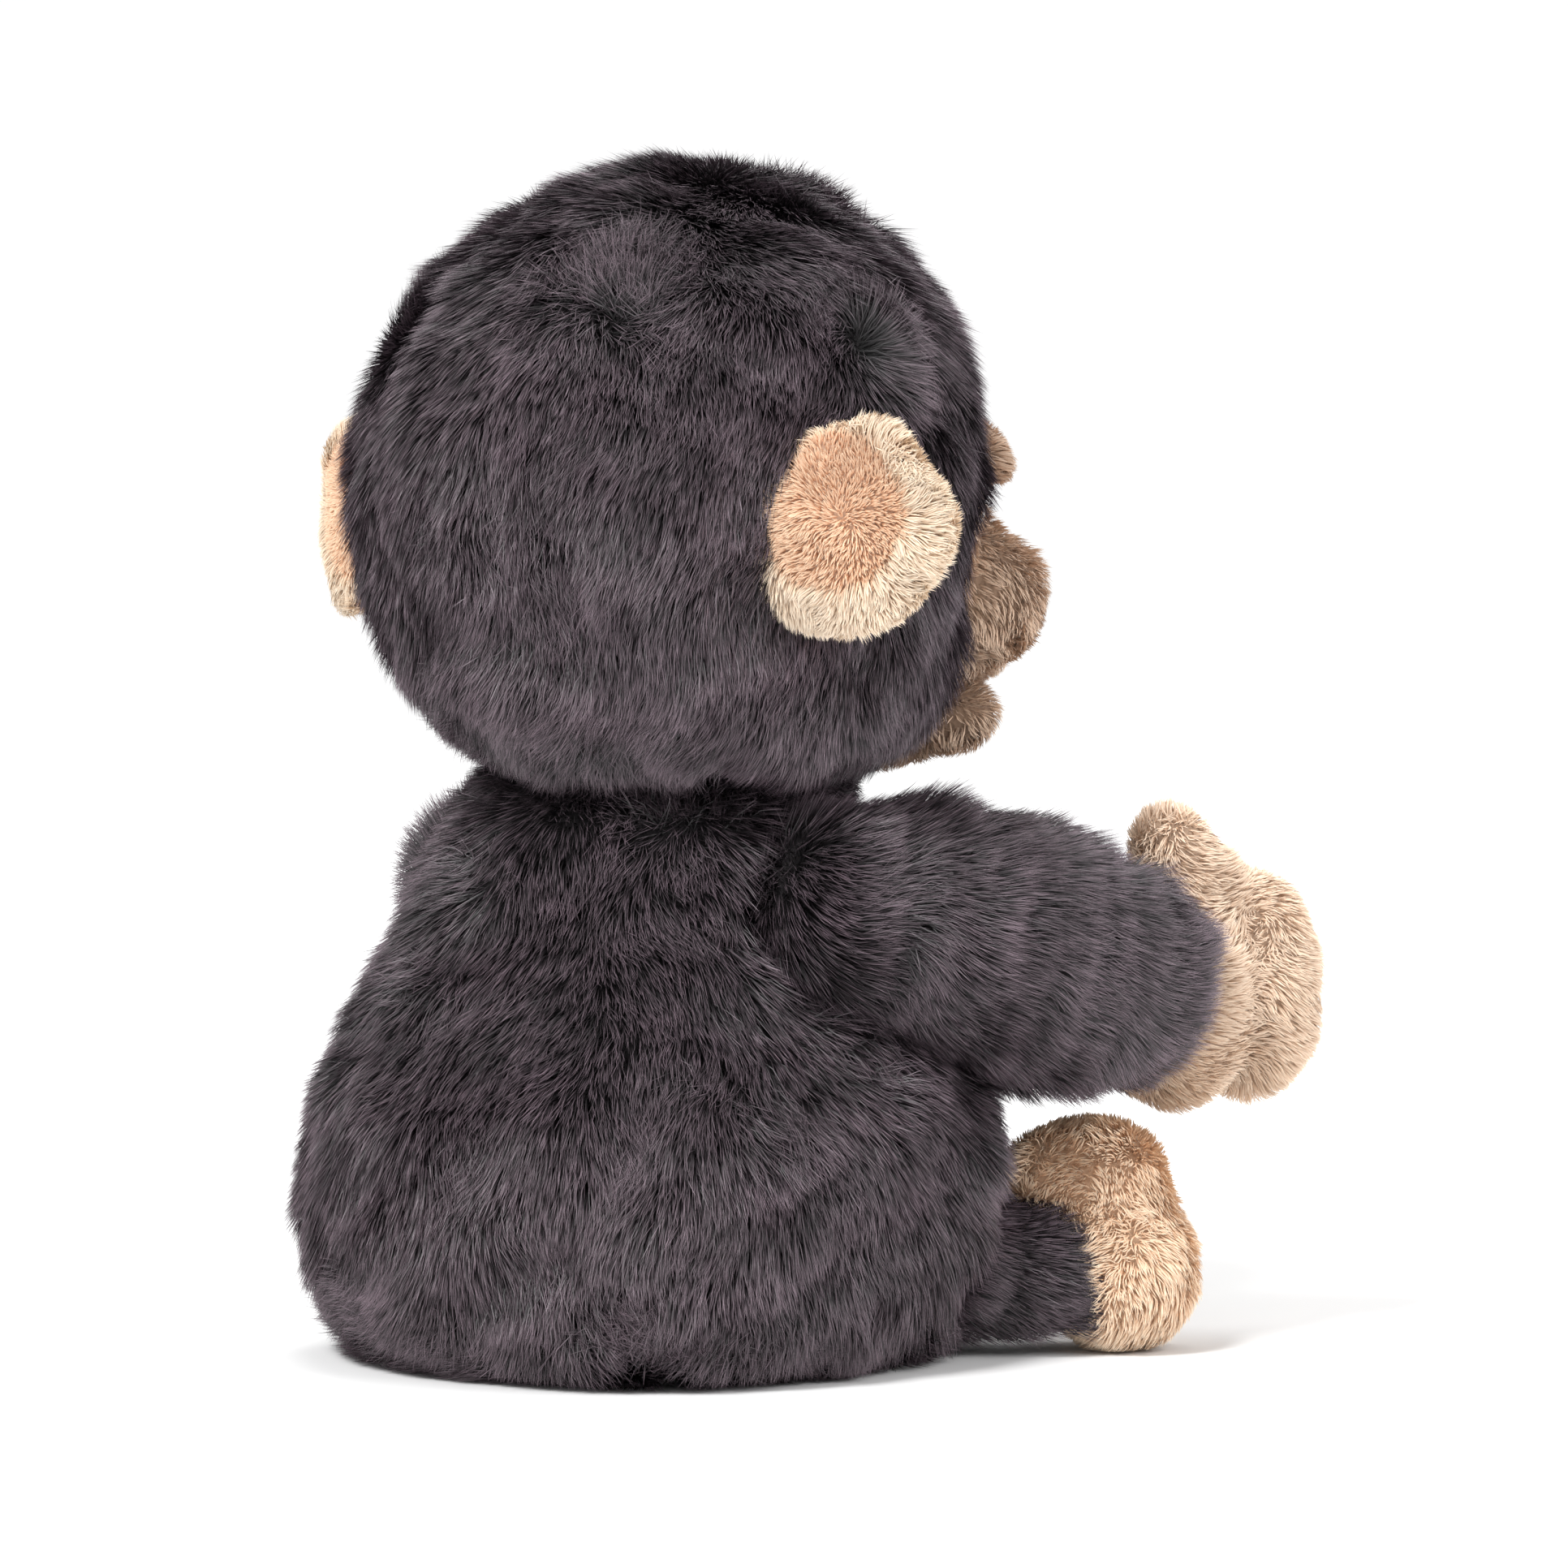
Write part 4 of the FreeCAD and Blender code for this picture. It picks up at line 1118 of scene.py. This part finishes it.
world = bpy.data.worlds.new("Studio")
bpy.context.scene.world = world
world.use_nodes = True
sky_nodes, sky_links = world.node_tree.nodes, world.node_tree.links
sky_nodes["Background"].inputs["Strength"].default_value = 0.50
backdrop = sky_nodes.new("ShaderNodeBackground")
backdrop.inputs["Strength"].default_value = 1.02
for shade in (sky_nodes["Background"], backdrop):
    shade.inputs["Color"].default_value = (1, 1, 1, 1)
seen_by = sky_nodes.new("ShaderNodeLightPath")
pick_sky = sky_nodes.new("ShaderNodeMixShader")
sky_links.new(seen_by.outputs["Is Camera Ray"], pick_sky.inputs["Fac"])
sky_links.new(sky_nodes["Background"].outputs["Background"], pick_sky.inputs[1])
sky_links.new(backdrop.outputs["Background"], pick_sky.inputs[2])
sky_links.new(pick_sky.outputs["Shader"], sky_nodes["World Output"].inputs["Surface"])


def soft_light(name, place, aim, size, power):
    """Round lamp at a place, turned to its aim."""
    lamp = bpy.data.lights.new(name, "AREA")
    lamp.shape = "DISK"
    lamp.size = size
    lamp.energy = power
    light = bpy.data.objects.new(name, lamp)
    bpy.context.collection.objects.link(light)
    light.location = place
    light.rotation_euler = (aim - place).to_track_quat("-Z", "Y").to_euler()
    return light


AIM = Vector((-0.0175, -0.0175, 0.105))
CAMERA_AWAY = 1.3
CAMERA_HEIGHT = 0.183
camera_turn = math.radians(225)
back = Vector((math.sin(camera_turn), -math.cos(camera_turn), 0))
aside = Vector((back.y, -back.x, 0))
lights = [soft_light("Fill", AIM + back * 0.7 - aside * 1.1 + Vector((0, 0, 0.8)), AIM, 1.0, 11),
          soft_light("Top", AIM - back * 0.5 + Vector((0, 0, 1.3)), AIM, 0.8, 9)]
sun_lamp = bpy.data.lights.new("Key", "SUN")
sun_lamp.angle = math.radians(16)
sun_lamp.energy = 2.6
sun = bpy.data.objects.new("Key", sun_lamp)
bpy.context.collection.objects.link(sun)
sun.rotation_euler = (-(back * 0.75 + aside * 0.6 + Vector((0, 0, 1.25)))).to_track_quat("-Z", "Y").to_euler()
lights.append(sun)

camera_data = bpy.data.cameras.new("Camera")
camera_data.lens = 162
camera_data.sensor_width = 36
camera = bpy.data.objects.new("Camera", camera_data)
bpy.context.collection.objects.link(camera)
camera.location = AIM + back * CAMERA_AWAY
camera.location.z = CAMERA_HEIGHT
camera.rotation_euler = (AIM - camera.location).to_track_quat("-Z", "Y").to_euler()
bpy.context.scene.camera = camera
bpy.context.scene.view_settings.view_transform = "Standard"
